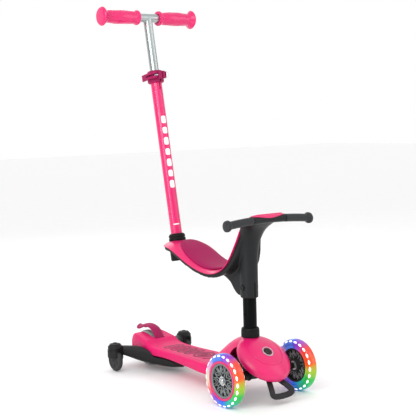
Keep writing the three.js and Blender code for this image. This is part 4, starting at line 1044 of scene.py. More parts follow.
ridge = spline_rows([(y, z, t) for (y, z), t in zip(RIDGE, THICK)], 3)
rings = []
for i, (y, z, thick) in enumerate(ridge):
    before, after = ridge[max(i - 1, 0)], ridge[min(i + 1, len(ridge) - 1)]
    along = Vector((0, after[0] - before[0], after[1] - before[1])).normalized()
    share = i / (len(ridge) - 1)
    half = FENDER_HALF * (1 - 0.06 * share - 0.30 * max(0, share - 0.9) / 0.1)
    rings.append(fender_section(Vector((0, y, z)), along, half, thick, sag=2.6 + 4.4 * share))
fender = Form().shell(rings)
barrel = Form().lathe([(2.8, -FENDER_HALF + 0.4), (5.8, -FENDER_HALF + 0.4), (5.8, FENDER_HALF - 0.4),
                       (2.8, FENDER_HALF - 0.4)], sides=32, fillet=0.8)
fender.add(barrel.moved(shift(0, hinge_y, hinge_z) @ across()))
told(place_piece("brake_plate", fender.made("fender"), MAGENTA, "brake", ["brake_fender"],
                 crisp=40))

# %% [markdown]
# ## Pins and axles at the back
# The brake turns on a steel pin and the rear wheel on a steel axle with a dome nut. They are
# turned parts, so each is one profile swept round.

# %% Brake pin, rear axle and nut
pin_low, pin_high = extent("brake_pin")
pin_half = (pin_high[0] - pin_low[0]) / 2
pin = Form().lathe([(0, -pin_half), (2.4, -pin_half), (2.4, pin_half), (0, pin_half)], sides=28, fillet=0.4)
place_piece("brake_pin_steel", pin.moved(shift(0, hinge_y, hinge_z) @ across()).made("pin"), STEEL,
            "deck", ["brake_pin"])
axle_low, axle_high = extent("rear_axle")
HEAD_END, NUT_END = axle_low[0], axle_high[0]
nut_low, nut_high = extent("rear_axle_nut")
axle = Form().lathe([(0, HEAD_END), (4.5, HEAD_END), (7, HEAD_END + 1.2), (7, HEAD_END + 4.4),
                     (3.9, HEAD_END + 4.6),
                     (3.9, NUT_END - 1), (3.2, NUT_END), (0, NUT_END)], sides=40, fillet=0.4)
place_piece("rear_axle_steel", axle.moved(REAR_PLACE).made("axle"), STEEL, "deck", ["rear_axle"])
nut = Form()
rings = []
for h, r, round_share in ((nut_low[0], 6.4, 1), (nut_low[0] + 0.8, 7.3, 0), (nut_high[0] - 1.2, 7.3, 0),
                          (nut_high[0], 6.2, 1)):
    ring = []
    for k in range(36):
        turn = TAU * k / 36
        hexed = r / math.cos((turn + math.pi / 6) % (math.pi / 3) - math.pi / 6)
        reach = r * round_share + hexed * (1 - round_share)
        ring.append((reach * math.cos(turn), reach * math.sin(turn), h))
    rings.append(ring)
inner = [[(4.2 * math.cos(TAU * k / 36), 4.2 * math.sin(TAU * k / 36), h) for k in range(36)]
         for h in (nut_high[0], nut_low[0])]
nut.shell(rings + inner, closed=True)
told(place_piece("rear_axle_nut_hex", nut.moved(REAR_PLACE).made("nut"), STEEL, "deck",
                 ["rear_axle_nut"], crisp=30))

# %% [markdown]
# ## Hood
# The hood is one pink moulding: a shallow dome that faces forward and up, and a saddle behind it
# that carries the post and runs down to the deck. The two forms are melted into one skin and
# smoothed, as in the mould, and then hollowed and cut out: the hole for the post, the side
# arches over the steering, and the seat of the badge.

# %% Hood skin
SHIELD_HALF_W = 64.0
SHIELD_HALF_L = 67.0
SHIELD_DOME = 24.0
SHIELD_TURN = shift(0, -7, 93) @ Matrix.Rotation(math.radians(38), 4, "X")
HOOD_WALL = 3.0
POST_Y = middle("post").y / MM - FRONT_AXLE.y / MM
POST_R = (extent("post")[1].x - extent("post")[0].x) / 2
COLLAR_LOW, COLLAR_HIGH = extent("post_collar")
HOOD_TOP = COLLAR_LOW.z


def dome(inset, depth, sides=64, rings=14):
    """A shallow cap over an oval, with a straight skirt under it."""
    rows = [[(0.02 * math.cos(TAU * k / sides), 0.02 * math.sin(TAU * k / sides), -depth)
             for k in range(sides)]]
    for i in range(rings + 1):
        turn = (math.pi / 2) * (i / rings) * 0.995
        r, h = math.cos(turn), math.sin(turn) * (SHIELD_DOME - inset)
        if i == 0:
            rows.append([((SHIELD_HALF_W - inset) * math.cos(TAU * k / sides),
                          (SHIELD_HALF_L - inset) * math.sin(TAU * k / sides), -depth) for k in range(sides)])
        rows.append([(r * (SHIELD_HALF_W - inset) * math.cos(TAU * k / sides),
                      r * (SHIELD_HALF_L - inset) * math.sin(TAU * k / sides), h) for k in range(sides)])
    return Form().shell(rows).moved(SHIELD_TURN)


SADDLE_ROWS = ((-8, 26, -34), (14, 32, -12), (38, 35.5, -1), (62, 36, -2), (84, 35.5, -12), (104, 36, -26),
               (124, 38, -42), (142, 41, -57), (158, 43, -69))


def squared(y, half, low, high, power=3.2, count=40):
    """A rounded box section across X at one distance back."""
    ring = []
    for k in range(count):
        turn = TAU * k / count
        c, s = math.cos(turn), math.sin(turn)
        ring.append((half * math.copysign(abs(c) ** (2 / power), c), y,
                     (low + high) / 2 + (high - low) / 2 * math.copysign(abs(s) ** (2 / power), s)))
    return ring


def saddle(inset, low, end=0.0):
    rows = [(y, w, z) for y, w, z in SADDLE_ROWS]
    rows[-1] = (rows[-1][0] - end, rows[-1][1], rows[-1][2])
    rows[0] = (rows[0][0] - (1 if inset else 0), rows[0][1], rows[0][2])
    return Form().shell([squared(y, w - inset, low, HOOD_TOP + z - inset, 2.7)
                         for y, w, z in spline_rows(rows, 3)])


hood_mesh = melted(dome(0, 6).add(saddle(0, 20)).made("hood"), 1.7, smooth=26, strength=0.6)
hood_arch = [(y, z) for _, y, z in spline([Vector((0, y, z)) for y, z in (
    (-40, 4), (-14, 60), (9, 91), (26, 110), (44, 116), (60, 110), (74, 93), (82, 72), (88, 20))], 4)]
arch_cut = Form().shell([[(x, y, z) for y, z in hood_arch] for x in (-95, 95)])
dome_room = dome(HOOD_WALL, 60)
saddle_room = saddle(HOOD_WALL, -20, end=7)
post_hole = Form().lathe([(0, 60), (POST_R + 0.6, 60), (POST_R + 0.6, 220), (0, 220)], sides=48)
collar_seat = Form().lathe([(0, HOOD_TOP - 0.3), (24.5, HOOD_TOP - 0.3), (24.5, 240), (0, 240)], sides=48)
badge_place = SHIELD_TURN @ shift(0, 0, SHIELD_DOME - 0.4)
badge_hole = Form().lathe([(0, -20), (13.8, -20), (13.8, 20), (0, 20)], sides=48).moved(badge_place)
for tool in (post_hole, collar_seat):
    tool.moved(shift(0, POST_Y, 0))
hood_mesh = carved(hood_mesh, [f.made("tool") for f in (dome_room, saddle_room, post_hole, collar_seat,
                                                        arch_cut, badge_hole)])
deck_room = Form().box((-90, 60, -60), (90, 260, DECK_TOP + 0.4))
hood_mesh = carved(hood_mesh, [deck_room.made("tool")])
told(place_piece("hood_moulding", hood_mesh, PINK, "deck", ["hood"], crisp=50))

# %% [markdown]
# A soft raised line loops round the badge on the hood, open at its top. It lies on the dome:
# each of its points is put on the oval's own surface.

# %% Hood line
def on_dome(x, y, lift=0.0):
    h = math.sqrt(max(0.0, 1 - (x / SHIELD_HALF_W) ** 2 - (y / SHIELD_HALF_L) ** 2))
    return SHIELD_TURN @ Vector((x, y, h * SHIELD_DOME + lift))


LINE_HALF_W, LINE_HALF_L, LINE_MIDDLE = 40, 42, 6
LINE_FROM, LINE_SWEEP, LINE_STEPS = 150, 240, 32
loop_line = []
for k in range(LINE_STEPS + 1):
    turn = math.radians(LINE_FROM + LINE_SWEEP * k / LINE_STEPS)
    loop_line.append(on_dome(LINE_HALF_W * math.cos(turn), LINE_MIDDLE + LINE_HALF_L * math.sin(turn), -0.2))
ridge_line = Form()
tube(ridge_line, loop_line, lambda t: 0.5 + 1.4 * math.sin(math.pi * t) ** 0.5, sides=10)
told(place_piece("hood_raised_line", ridge_line.made("hood_line"), PINK, "deck", crisp=60))

# %% [markdown]
# ## Badge and lock button
# A silver ring is set in the dome, with a pink gap inside it and a dark push button in the
# middle. The button locks the steering. The ring carries no lettering.

# %% Badge ring and button
badge_low, badge_high = extent("badge_ring")
badge_r = (badge_high.x - badge_low.x) / 2
button_r = (extent("lock_button")[1].x - extent("lock_button")[0].x) / 2
badge = Form().lathe([(badge_r - 2.0, -2.5), (badge_r, -2.5), (badge_r, 0.8), (badge_r - 2.0, 1.0)], sides=64,
                     fillet=0.4).moved(badge_place)
place_piece("badge_ring_silver", badge.made("badge"), STEEL, "deck",
            ["badge_ring"])
badge_bed = Form().lathe([(button_r + 0.5, -3.9), (badge_r - 2.1, -3.9), (badge_r - 2.1, 0.1),
                          (button_r + 0.5, 0.1)], sides=64, fillet=0.3).moved(badge_place)
place_piece("badge_bed", badge_bed.made("badge_bed"), PINK, "deck")
button = Form().lathe([(0, -3.4), (button_r - 0.2, -3.4), (button_r - 0.2, 0.9), (button_r - 1.5, 2.0),
                       (button_r - 3.0, 1.4), (0, 1.6)], sides=56, fillet=0.7).moved(badge_place)
told(place_piece("lock_button_disc", button.made("lock_button"), BLACK_GLOSS, "lock_button",
                 ["lock_button"]))

# %% [markdown]
# ## Collar and post
# A stepped black collar closes the hood round the post. The post is a plain round steel tube
# with a black powder coat and a small cross hole above the collar.

# %% Collar and post
COLLAR_R = (COLLAR_HIGH.x - COLLAR_LOW.x) / 2
collar_h = COLLAR_HIGH.z - COLLAR_LOW.z
collar = Form().lathe([(POST_R + 0.3, 0), (COLLAR_R, 0), (COLLAR_R, collar_h - 6.2),
                       (COLLAR_R - 0.9, collar_h - 5.6),
                       (COLLAR_R - 0.9, collar_h - 4.6), (COLLAR_R - 0.4, collar_h - 4.2),
                       (COLLAR_R - 0.6, collar_h - 2.4), (COLLAR_R - 2.2, collar_h),
                       (POST_R + 0.3, collar_h)],
                      sides=72, fillet=0.6).moved(shift(0, POST_Y, HOOD_TOP))
place_piece("post_collar_ring", collar.made("collar"), BLACK_DULL, "deck", ["post_collar"])
post_low, post_high = extent("post")
post_form = Form().lathe([(POST_R - 1.6, post_low.z), (POST_R, post_low.z), (POST_R, post_high.z),
                          (POST_R - 1.6, post_high.z)], sides=72, fillet=0.3).moved(shift(0, POST_Y, 0))
post_pin = Form().lathe([(0, -40), (2.4, -40), (2.4, 40), (0, 40)], sides=20)
post_pin.moved(shift(0, POST_Y, HOOD_TOP + collar_h + 31) @ across())
told(place_piece("post_tube", carved(post_form.made("post"), [post_pin.made("tool")]), POST_COAT, "deck",
                 ["post"]))

# %% [markdown]
# ## Steering gear
# Under the hood a black casting joins the post to the deck. The front truck hangs on a kingpin
# that leans forward, on a rubber cushion. Castings have soft edges everywhere, so the carried
# over pieces get rounded edges and a fine cast grain, and ribs are added to the truck.

# %% Housing, truck, kingpin and cushion
def softened(node, name, finishes, width, body, segments=3, crisp=30, angle=0.5):
    """The engineering piece itself with rounded edges, as a finer piece in its place."""
    source = bpy.data.objects[node]
    mesh = source.data.copy()
    mesh.transform(source.matrix_world)
    mesh.materials.clear()
    merged = bmesh.new()
    merged.from_mesh(mesh)
    bmesh.ops.remove_doubles(merged, verts=merged.verts, dist=1e-6)
    bmesh.ops.dissolve_limit(merged, angle_limit=math.radians(1), verts=merged.verts, edges=merged.edges)
    merged.to_mesh(mesh)
    merged.free()
    mesh = worked(mesh, ("BEVEL", {"width": width * MM, "segments": segments, "limit_method": "ANGLE",
                                   "angle_limit": angle, "use_clamp_overlap": True}))
    return place_piece(name, mesh, finishes, body, [node], crisp=crisp)


softened("steering_housing", "housing_casting", BLACK_DULL, 1.2, "deck")
softened("front_truck", "truck_casting", BLACK_SATIN, 0.8, "truck")
softened("kingpin", "kingpin_steel", STEEL, 0.4, "deck")
softened("steering_cushion", "cushion_rubber", BLACK_RUBBER, 0.8, "deck")
truck_half = (extent("front_truck")[1].x - extent("front_truck")[0].x) / 2
ribs = Form()
for way in (-1, 1):
    for share in (0.42, 0.6, 0.78):
        x = way * truck_half * share
        r = 15.2 - 8.5 * share
        ribs.add(Form().lathe([(r - 2, -1.1), (r + 1.2, -1.1), (r + 1.6, 0), (r + 1.2, 1.1), (r - 2, 1.1)],
                              sides=40,
                              fillet=0.3).moved(shift(x, max(0, r - 9) * 0.8, FRONT_AXLE.z / MM) @ across()))
told(place_piece("truck_ribs", ribs.made("ribs"), BLACK_SATIN, "truck"))

# %% [markdown]
# ## Front loop
# A charcoal plastic loop hangs below the hood's nose. It is a flat band bent into a rounded
# triangle with a broad stalk that goes up inside the hood. The band is swept along the outline.

# %% Front loop
LOOP_REACH = -extent("front_loop")[0].y
half_loop = ((9, -31, 55), (15, -39, 50), (22, -52, 41.5), (28.5, -64.5, 31.5), (29.5, -67.5, 26),
             (26, -69.3, 22),
             (18, -68.6, 19.2), (8, -67.3, 17.8))
outline = [Vector(p) for p in half_loop] + [Vector((-x, y, z)) for x, y, z in half_loop[::-1]]
nose = LOOP_REACH - 73.0
path = []
for i, p in enumerate(outline):
    path.append(Vector((p.x, p.y - nose * min(1, (-p.y - 31) / 38), p.z)))
closed = path[-3:] + path + path[:3]
dense = spline(closed, 5)
count = len(outline) * 5
dense = dense[15:15 + count]
heart = sum(dense, Vector()) / len(dense)
rings = []
for i, p in enumerate(dense):
    along = (dense[(i + 1) % count] - dense[i - 1]).normalized()
    out = p - heart
    out = (out - along * out.dot(along)).normalized()
    up = along.cross(out)
    ring = []
    for k in range(20):
        turn = TAU * k / 20
        c, s = math.cos(turn), math.sin(turn)
        reach = 6.8 * math.copysign(abs(c) ** 0.6, c) - 1.5
        ring.append(p + out * reach + up * 3.9 * math.copysign(abs(s) ** 0.6, s))
    rings.append(ring)
loop_form = Form().shell(rings, closed=True)
stalk_line = rounded([(-42, 47), (-27, 46), (-24.3, 78), (-24.3, 94), (-28, 94), (-32, 84), (-38, 66)], 3, 3)
stalk = Form().shell([[(x, y, z) for y, z in stalk_line] for x in (-11, -10, 10, 11)])
loop_mesh = melted(loop_form.add(stalk).made("loop"), 0.9, smooth=2)
shield_room = carved(dome(-0.5, 6.4).made("shield"), [dome(HOOD_WALL + 0.5, 60).made("tool")])
loop_mesh = carved(loop_mesh, [shield_room])
CHARCOAL = finish("charcoal_plastic", (0.019, 0.018, 0.020), 0.5, specular=0.25, grain=1100, bump=0.15,
                  drift=0.15)
told(place_piece("front_loop_band", loop_mesh, CHARCOAL, "deck", ["front_loop"]))

# %% [markdown]
# ## Trainer wheels
# A bowed black beam runs under the deck and out to two heads. Each head is a round cap with a
# ring line and a lobed knob on top, over a slot in which a small black wheel turns.

# %% Trainer beam and heads
TRAINER_BLACK = finish("trainer_black", (0.009, 0.009, 0.010), 0.5, specular=0.25, grain=1300, bump=0.2,
                       drift=0.15)
softened("trainer_beam", "trainer_beam_bow", TRAINER_BLACK, 2.2, "deck", segments=4,
         angle=0.35)
for label, side in (("right", -1), ("left", 1)):
    head_low, head_high = extent(f"trainer_head_{label}")
    centre_x = (head_low.x + head_high.x) / 2
    centre_y = (head_low.y + head_high.y) / 2
    softened(f"trainer_head_{label}", f"trainer_fork_{label}", TRAINER_BLACK, 0.7, "deck")
    top = head_high.z
    head_r = 20.0
    trim = Form()
    for height, reach, thick in ((top - 16.6, head_r - 0.4, 0.9), (top - 21.5, head_r + 0.2, 0.5)):
        trim.add(Form().lathe([(reach - 1.2, height - thick), (reach, height - thick * 0.5),
                               (reach, height + thick * 0.5),
                               (reach - 1.2, height + thick)], sides=64, fillet=0.3))

    def lobed(turn, x, y, z):
        wave = 1 + 0.07 * math.cos(6 * turn) * min(1, math.hypot(x, y) / 12)
        return (x * wave, y * wave, z)

    knob = Form().lathe([(4, top - 6), (head_r - 5.8, top - 6.2), (head_r - 5.2, top - 4.6),
                         (head_r - 7, top - 3.0),
                         (9, top - 1.9), (6.4, top - 1.7), (4, top - 2.4)], sides=72, fillet=0.8, bend=lobed)
    trim.add(knob)
    trim.moved(shift(centre_x, centre_y, 0))
    told(place_piece(f"trainer_knob_{label}", trim.made("knob"), TRAINER_BLACK,
                     "deck"))

# %% Trainer wheels
TRAINER_RUBBER = finish("trainer_rubber", (0.016, 0.016, 0.017), 0.62, grain=600, bump=0.3, drift=0.2)
for label, side in (("right", -1), ("left", 1)):
    node = f"trainer_wheel_{label}"
    low, high = extent(node)
    radius, half = (high.z - low.z) / 2, (high.x - low.x) / 2
    spot = (low + high) / 2
    body = f"trainer_wheel_{label}"
    tyre = [(4.3, -half), (8, -half), (8.6, -half + 1.4), (radius - 8, -half + 1.4), (radius - 7.2, -half),
            (radius - 3.4, -half), (radius - 0.6, -half + 2.2), (radius, -1.8), (radius, 1.8),
            (radius - 0.6, half - 2.2),
            (radius - 3.4, half), (radius - 7.2, half), (radius - 8, half - 1.4), (8.6, half - 1.4),
            (8, half), (4.3, half)]
    form = Form().lathe(tyre, sides=72, fillet=0.8)
    for k in range(6):
        turn = TAU * k / 6
        spoke = Form().box((9, -1.2, -half + 0.6), (radius - 8, 1.2, half - 0.6))
        form.add(spoke.moved(Matrix.Rotation(turn, 4, "Z")))
    form.moved(shift(*spot) @ across())
    told(place_piece(f"trainer_wheel_cast_{label}", form.made(node), TRAINER_RUBBER, body,
                     [node],
                     origin=Vector(at(*spot)), crisp=40))

# %% [markdown]
# ## Seat line
# Seat, pad and the frame under them follow one line in side view: it rises from the back edge,
# dips where the child sits and runs up the neck to the bar. The width along the line and
# the drop of the edges are given as a share of the way along it.

# %% Seat line and sheets
SEAT_LINE = ((331, 320), (319, 334), (300, 338), (270, 335), (240, 325), (210, 311), (180, 299), (150, 291),
             (120, 288), (92, 292), (70, 305), (54, 328), (43, 356), (33, 385), (18, 405), (-4, 417),
             (-34, 423))
SEAT_SHARES = (0.5, 0.86, 0.97, 1, 0.98, 0.95, 0.92, 0.9, 0.84, 0.72, 0.58, 0.48, 0.47, 0.7)
seat_low, seat_high = extent("seat_shell")
SEAT_HALF = (seat_high.x - seat_low.x) / 2
seat_dense = spline([Vector((0, y, z)) for y, z in SEAT_LINE], 12)
seat_marks = [0.0]
for a, b in zip(seat_dense, seat_dense[1:]):
    seat_marks.append(seat_marks[-1] + (b - a).length)


def seat_at(u):
    """A point on the seat line and its direction, at a share of its length."""
    want = max(0.0, min(1.0, u)) * seat_marks[-1]
    for i in range(len(seat_marks) - 1):
        if seat_marks[i + 1] >= want:
            break
    a, b = seat_dense[i], seat_dense[i + 1]
    t = (want - seat_marks[i]) / (seat_marks[i + 1] - seat_marks[i])
    before = seat_dense[max(i - 1, 0)]
    after = seat_dense[min(i + 2, len(seat_dense) - 1)]
    return a.lerp(b, t), ((b - before).lerp(after - a, t)).normalized()


share_rows = spline_rows([(v,) for v in SEAT_SHARES], 8)


def seat_half(u):
    place = max(0.0, min(1.0, u)) * (len(share_rows) - 1)
    i = min(int(place), len(share_rows) - 2)
    return SEAT_HALF * (share_rows[i][0] + (share_rows[i + 1][0] - share_rows[i][0]) * (place - i))


def seat_spot(u, x, height):
    """A point over the seat line: x across it and a height off it, edges drooping."""
    point, along = seat_at(u)
    up = Vector((0, along.z, -along.y))
    t = max(0.0, min(1.0, (0.75 - u) / 0.3))
    drop = 9 * t * t * (3 - 2 * t) * min(abs(x) / seat_half(u), 1.1) ** 3
    return Vector((x, point.y, point.z)) + up * (height - drop)


def seat_sheet(start, end, steps, lift, thick, half_at, across_steps=22, edge=0.35, crown=0.0):
    """A closed sheet along the seat line with rounded edges and an optional crowned top."""
    rows = []
    for k in range(steps + 1):
        u = start + (end - start) * k / steps
        half = half_at(u)
        top, under = [], []
        for i in range(across_steps + 1):
            s = -math.cos(math.pi * i / across_steps)
            thin = thick * edge * abs(s) ** 8
            top.append(seat_spot(u, half * s, lift - thin + crown * (1 - s * s)))
            under.append(seat_spot(u, half * s, lift - thick + thin))
        rows.append(top + under[::-1])
    return Form().shell(rows)


# %% [markdown]
# ## Push bar frame
# Everything behind the seat stands on a leaning line. The line's direction comes from the
# joint that lifts the push bar out and its foot is given in millimetres, so that all its pieces share one
# leaning frame.

# %% Leaning frame of the push bar
bar_axis = Vector(joint("bar_telescope")["axis"]).normalized()
bar_axis = bar_axis if bar_axis.z > 0 else -bar_axis
LEAN = math.atan2(bar_axis.y, bar_axis.z)
SOCKET_FOOT = Vector((0, 304, 287))
PUSH_PLACE = shift(*SOCKET_FOOT) @ Matrix.Rotation(-LEAN, 4, "X")
SOCKET_R, SOCKET_H = 22.0, 50.0
TUBE_R, STEM_R = 14.0, 11.0
TUBE_TOP = 474.0
print("push bar leans back by", round(math.degrees(LEAN), 2), "degrees")


def socket_room(grow):
    return Form().lathe([(0, -1 - grow), (SOCKET_R + grow, -1 - grow), (SOCKET_R + grow, 200), (0, 200)],
                        sides=64).moved(PUSH_PLACE)


# %% [markdown]
# ## Seat frame
# The black frame is one big moulding: a round column over the post that flares into the neck, a
# web behind it, a hollow tray under the seat, and the bar's core. Its parts are melted together
# and smoothed, which gives the flowing joins, and then bored and slit.

# %% Seat frame moulding
COLUMN_R = 20.5
COLUMN_FOOT = extent("seat_frame")[0].z
NECK_ROWS = ((COLUMN_FOOT, 38, 20.5, 20.5, 2.0), (250, 38, 20.5, 20.5, 2.0), (310, 38, 20.8, 20.6, 2.1),
             (342, 36, 23, 20.8, 2.2), (366, 30, 27, 21.5, 2.3), (385, 20, 32.5, 23, 2.4),
             (398, 4, 40.5, 22.5, 2.4),
             (407, -14, 47, 16.5, 2.3), (414, -24, 47, 10.5, 2.2))


def neck_ring(z, y, half_x, half_y, power, count=56):
    ring = []
    for k in range(count):
        turn = TAU * k / count
        c, s = math.cos(turn), math.sin(turn)
        ring.append((half_x * math.copysign(abs(c) ** (2 / power), c),
                     y + half_y * math.copysign(abs(s) ** (2 / power), s), z))
    return ring


def bar_spot(x):
    """The middle of the little handlebar, drooping a little at its ends."""
    droop = (x / 123) ** 2
    return Vector((x, -34 - 2 * droop, 411 - 7 * droop))


def bar_run(start, end, radii, sides=40):
    """A round length of the handlebar with a radius at each share of the way."""
    rows = []
    for share, radius in radii:
        p = bar_spot(start + (end - start) * share)
        rows.append([(p.x, p.y + radius * math.cos(TAU * k / sides), p.z + radius * math.sin(TAU * k / sides))
                     for k in range(sides)])
    return Form().shell(rows)


body_form = Form().shell([neck_ring(*row) for row in spline_rows(NECK_ROWS, 5)])
web_line = rounded([(40, COLUMN_FOOT + 1), (66, COLUMN_FOOT + 4), (78, 240), (92, 258), (112, 269),
                    (140, 275),
                    (120, 287), (86, 288), (66, 300), (52, 325), (46, 350), (38, 350)], 6, 3)
body_form.add(Form().shell([[(x, y, z) for y, z in web_line] for x in (-13, -12, 12, 13)]))
body_form.add(bar_run(-47, 47, [(k / 8, 8.8) for k in range(9)]))


def tray_half(u):
    return seat_half(u) - 3.2


tray = seat_sheet(0.035, 0.86, 52, -1, 13.5, tray_half, edge=0.1)
body_form.add(tray)
frame_mesh = melted(body_form.made("seat_frame"), 1.9, smooth=5)
over = seat_sheet(0.0, 1.0, 44, 26, 29.6, lambda u: seat_half(u) + 3, edge=0)
post_bore = Form().lathe([(0, COLUMN_FOOT - 20), (16.6, COLUMN_FOOT - 20), (16.6, 319), (0, 319)],
                         sides=64).moved(shift(0, POST_Y, 0))
foot_cut = Form().box((-60, -30, COLUMN_FOOT - 20), (60, 90, COLUMN_FOOT))
slit = Form().box((-1.3, -40, COLUMN_FOOT - 10), (1.3, POST_Y, COLUMN_FOOT + 36))
bolt_z = middle("seat_bolt").z / MM
bolt_way = Form().lathe([(0, -60), (3.4, -60), (3.4, 60), (0, 60)], sides=28)
bolt_way.moved(shift(0, POST_Y, bolt_z) @ across())
socket_well = socket_room(0.5)
frame_mesh = carved(frame_mesh, [f.made("tool") for f in (over, post_bore, foot_cut, slit, bolt_way,
                                                          socket_well)])
frame_mesh = carved(frame_mesh, [bar_run(-118, 118, [(0, 6.0), (0.5, 6.0), (1, 6.0)]).made("core")], "UNION")
told(place_piece("seat_frame_moulding", frame_mesh, BLACK_SATIN, "seat", ["seat_frame"],
                 crisp=45))

# %% [markdown]
# A round raised rim frames the bolt on each flank of the column.

# %% Rim round the bolt
for way, label in ((-1, "right"), (1, "left")):
    recess = Form().lathe([(6.2, -0.6), (7.6, -0.6), (7.6, 0.5), (6.2, 0.5)], sides=40, fillet=0.4)
    recess.moved(shift(way * 20.4, POST_Y, bolt_z) @ across())
    place_piece(f"bolt_recess_{label}", recess.made("recess"), BLACK_SATIN, "seat")

# %% Seat bolt and nut
for node, way, sides in (("seat_bolt", -1, 40), ("seat_nut", 1, 6)):
    low, high = extent(node)
    inner, outer = (abs(high.x), abs(low.x)) if way < 0 else (abs(low.x), abs(high.x))
    seat = COLUMN_R + 0.3
    stub = Form().lathe([(0, inner), (3.0, inner), (3.0, seat), (5.5, seat), (5.5, outer - 0.7), (4.8, outer),
                         (2.6, outer), (2.3, outer - 1.4), (0, outer - 1.4)], sides=sides, fillet=0.25)
    if way < 0:
        stub.moved(Matrix.Rotation(math.pi, 4, "X"))
    told(place_piece(f"{node}_head", stub.moved(shift(0, POST_Y, bolt_z) @ across()).made(node),
                     BLACK_GLOSS, "seat",
                     [node]))

# %% [markdown]
# ## Seat shell
# The pink shell lies on the frame from the back edge to the top of the neck. It is a thin sheet with
# rounded edges that follows the seat line; a hole lets the push bar's socket through.

# %% Seat shell
shell_form = seat_sheet(0.0, 1.0, 90, 0.0, 3.2, seat_half, edge=0.3)
shell_mesh = carved(shell_form.made("seat_shell"), [socket_room(0.4).made("tool")])
told(place_piece("seat_shell_moulding", shell_mesh, PINK, "seat", ["seat_shell"], crisp=50))

# %% [markdown]
# ## Seat pad
# The pad is an oval of soft dark-magenta rubber foam. It is crowned, thins to a rounded edge and has
# a fine pressed line inside its rim. It is modelled, as the pad is moulded and not sewn.

# %% Seat pad
PAD_FROM, PAD_TO = 0.13, 0.57


def pad_half(u):
    share = abs(u - (PAD_FROM + PAD_TO) / 2) / ((PAD_TO - PAD_FROM) / 2)
    return max(0.4, (SEAT_HALF - 14) * max(0.0, 1 - share ** 2.4) ** 0.45)


def pad_sheet(steps=72, columns=24):
    rows = []
    for k in range(steps + 1):
        s_long = -math.cos(math.pi * k / steps)
        u = (PAD_FROM + PAD_TO) / 2 + (PAD_TO - PAD_FROM) / 2 * s_long
        half = pad_half(u)
        top, under = [], []
        for i in range(columns + 1):
            s = -math.cos(math.pi * i / columns)
            rim = max(abs(s), abs(s_long))
            inside = min(half * (1 - abs(s)), 95 * (1 - abs(s_long)))
            roll = 2.6 * max(0.0, 1 - inside / 5) ** 2
            line = 0.7 * math.exp(-((inside - 7.5) / 1.0) ** 2)
            top.append(seat_spot(u, half * s, 5.4 - roll - line + 0.35 * (1 - rim)))
            under.append(seat_spot(u, half * s, 1.2 + 0.3 * roll))
        rows.append(top + under[::-1])
    return Form().shell(rows)


pad_mesh = carved(pad_sheet().made("seat_pad"), [socket_room(0.4).made("tool")])
pad = place_piece("seat_pad_rubber", pad_mesh, PAD_RUBBER, "seat", ["seat_pad"], crisp=60)
told(pad)

# %% [markdown]
# ## Handlebar on the neck
# Each end carries a black rubber grip that ends in a rounder knob, and a pink cap lies on the
# middle of the bar.

# %% Pink cap on the bar
TRIM_HALF = 46.0
trim_rows = []
for k in range(41):
    share = -1 + 2 * k / 40
    p = bar_spot(TRIM_HALF * share)
    lap = 8 + 62 * (1 - abs(share) ** 1.7)
    row = []
    for skin in (10.2, 8.5):
        turns = [180 - 90 + lap * (1 - 2 * j / 14) for j in range(15)]
        for turn in (turns if skin > 9 else turns[::-1]):
            swell = 0.0 if skin < 9 else -0.7 * (abs(turn - 90) / lap) ** 4
            r = skin + swell
            row.append((p.x, p.y - r * math.cos(math.radians(180 - turn)),
                        p.z + r * math.sin(math.radians(turn))))
    trim_rows.append(row)
told(place_piece("bar_pink_cap", Form().shell(trim_rows).made("bar_cap"), PINK, "seat",
                 crisp=60))

# %% Bar grips
for node, way in (("seat_grip_right", -1), ("seat_grip_left", 1)):
    low, high = extent(node)
    start, end = (high.x, low.x) if way < 0 else (low.x, high.x)
    length = abs(end - start)
    profile = [(0.0, 8.2), (0.012, 8.9), (0.03, 9.0)]
    for k in range(1, 19):
        share = 0.05 + 0.78 * k / 19
        profile.append((share, 9.0 if k % 2 else 8.75))
    profile += [(0.85, 9.05), (0.868, 10.2), (0.885, 12.0), (0.91, 12.6), (0.955, 12.55), (0.985, 11.9),
                (1.0, 10.2)]
    grip_skin = bar_run(start, end, profile)
    bore = bar_run(start - way * 2, start + way * 0.955 * length, [(0, 6.3), (1, 6.3)])
    grip_mesh = carved(grip_skin.made("grip"), [bore.made("tool")])
    told(place_piece(f"{node}_rubber", grip_mesh, BLACK_RUBBER, "seat", [node], crisp=40))

# %% [markdown]
# ## Push bar socket
# A black cup behind the seat holds the foot of the push bar. A spring button in its back lets
# the bar go. The cup has a rolled rim and a ring line.

# %% Socket, button and tube collar
socket = Form().lathe([(0, 0), (SOCKET_R - 2.6, 0), (SOCKET_R, 2.6), (SOCKET_R, 30), (SOCKET_R - 0.7, 31),
                       (SOCKET_R - 0.7, 32.4), (SOCKET_R, 33.4), (SOCKET_R, SOCKET_H - 3.4),
                       (SOCKET_R - 1.6, SOCKET_H),
                       (TUBE_R + 0.5, SOCKET_H), (TUBE_R + 0.5, 4), (0, 4)], sides=80, fillet=0.8)
socket_mesh = socket.moved(PUSH_PLACE).made("socket")
button_room = Form().box((-7.3, SOCKET_R - 8, 7.7), (7.3, 60, 19.3)).moved(PUSH_PLACE)
socket_mesh = carved(socket_mesh, [button_room.made("tool")])
told(place_piece("push_bar_socket_cup", socket_mesh, BLACK_DULL, "seat", ["push_bar_socket"]))
softened("release_button", "release_button_cap", BLACK_GLOSS, 1.1, "release_button")
collar_foot = SOCKET_H + 0.3
tube_collar = Form().lathe([
    (TUBE_R + 0.3, collar_foot), (21, collar_foot), (21, collar_foot + 4.6), (19.6, collar_foot + 5.6),
    (19.6, collar_foot + 7.6), (20.6, collar_foot + 8.8), (20.3, collar_foot + 12.4),
    (18.2, collar_foot + 15.2),
    (16.6, collar_foot + 16.7), (TUBE_R + 0.3, collar_foot + 16.7)], sides=80, fillet=0.8).moved(PUSH_PLACE)
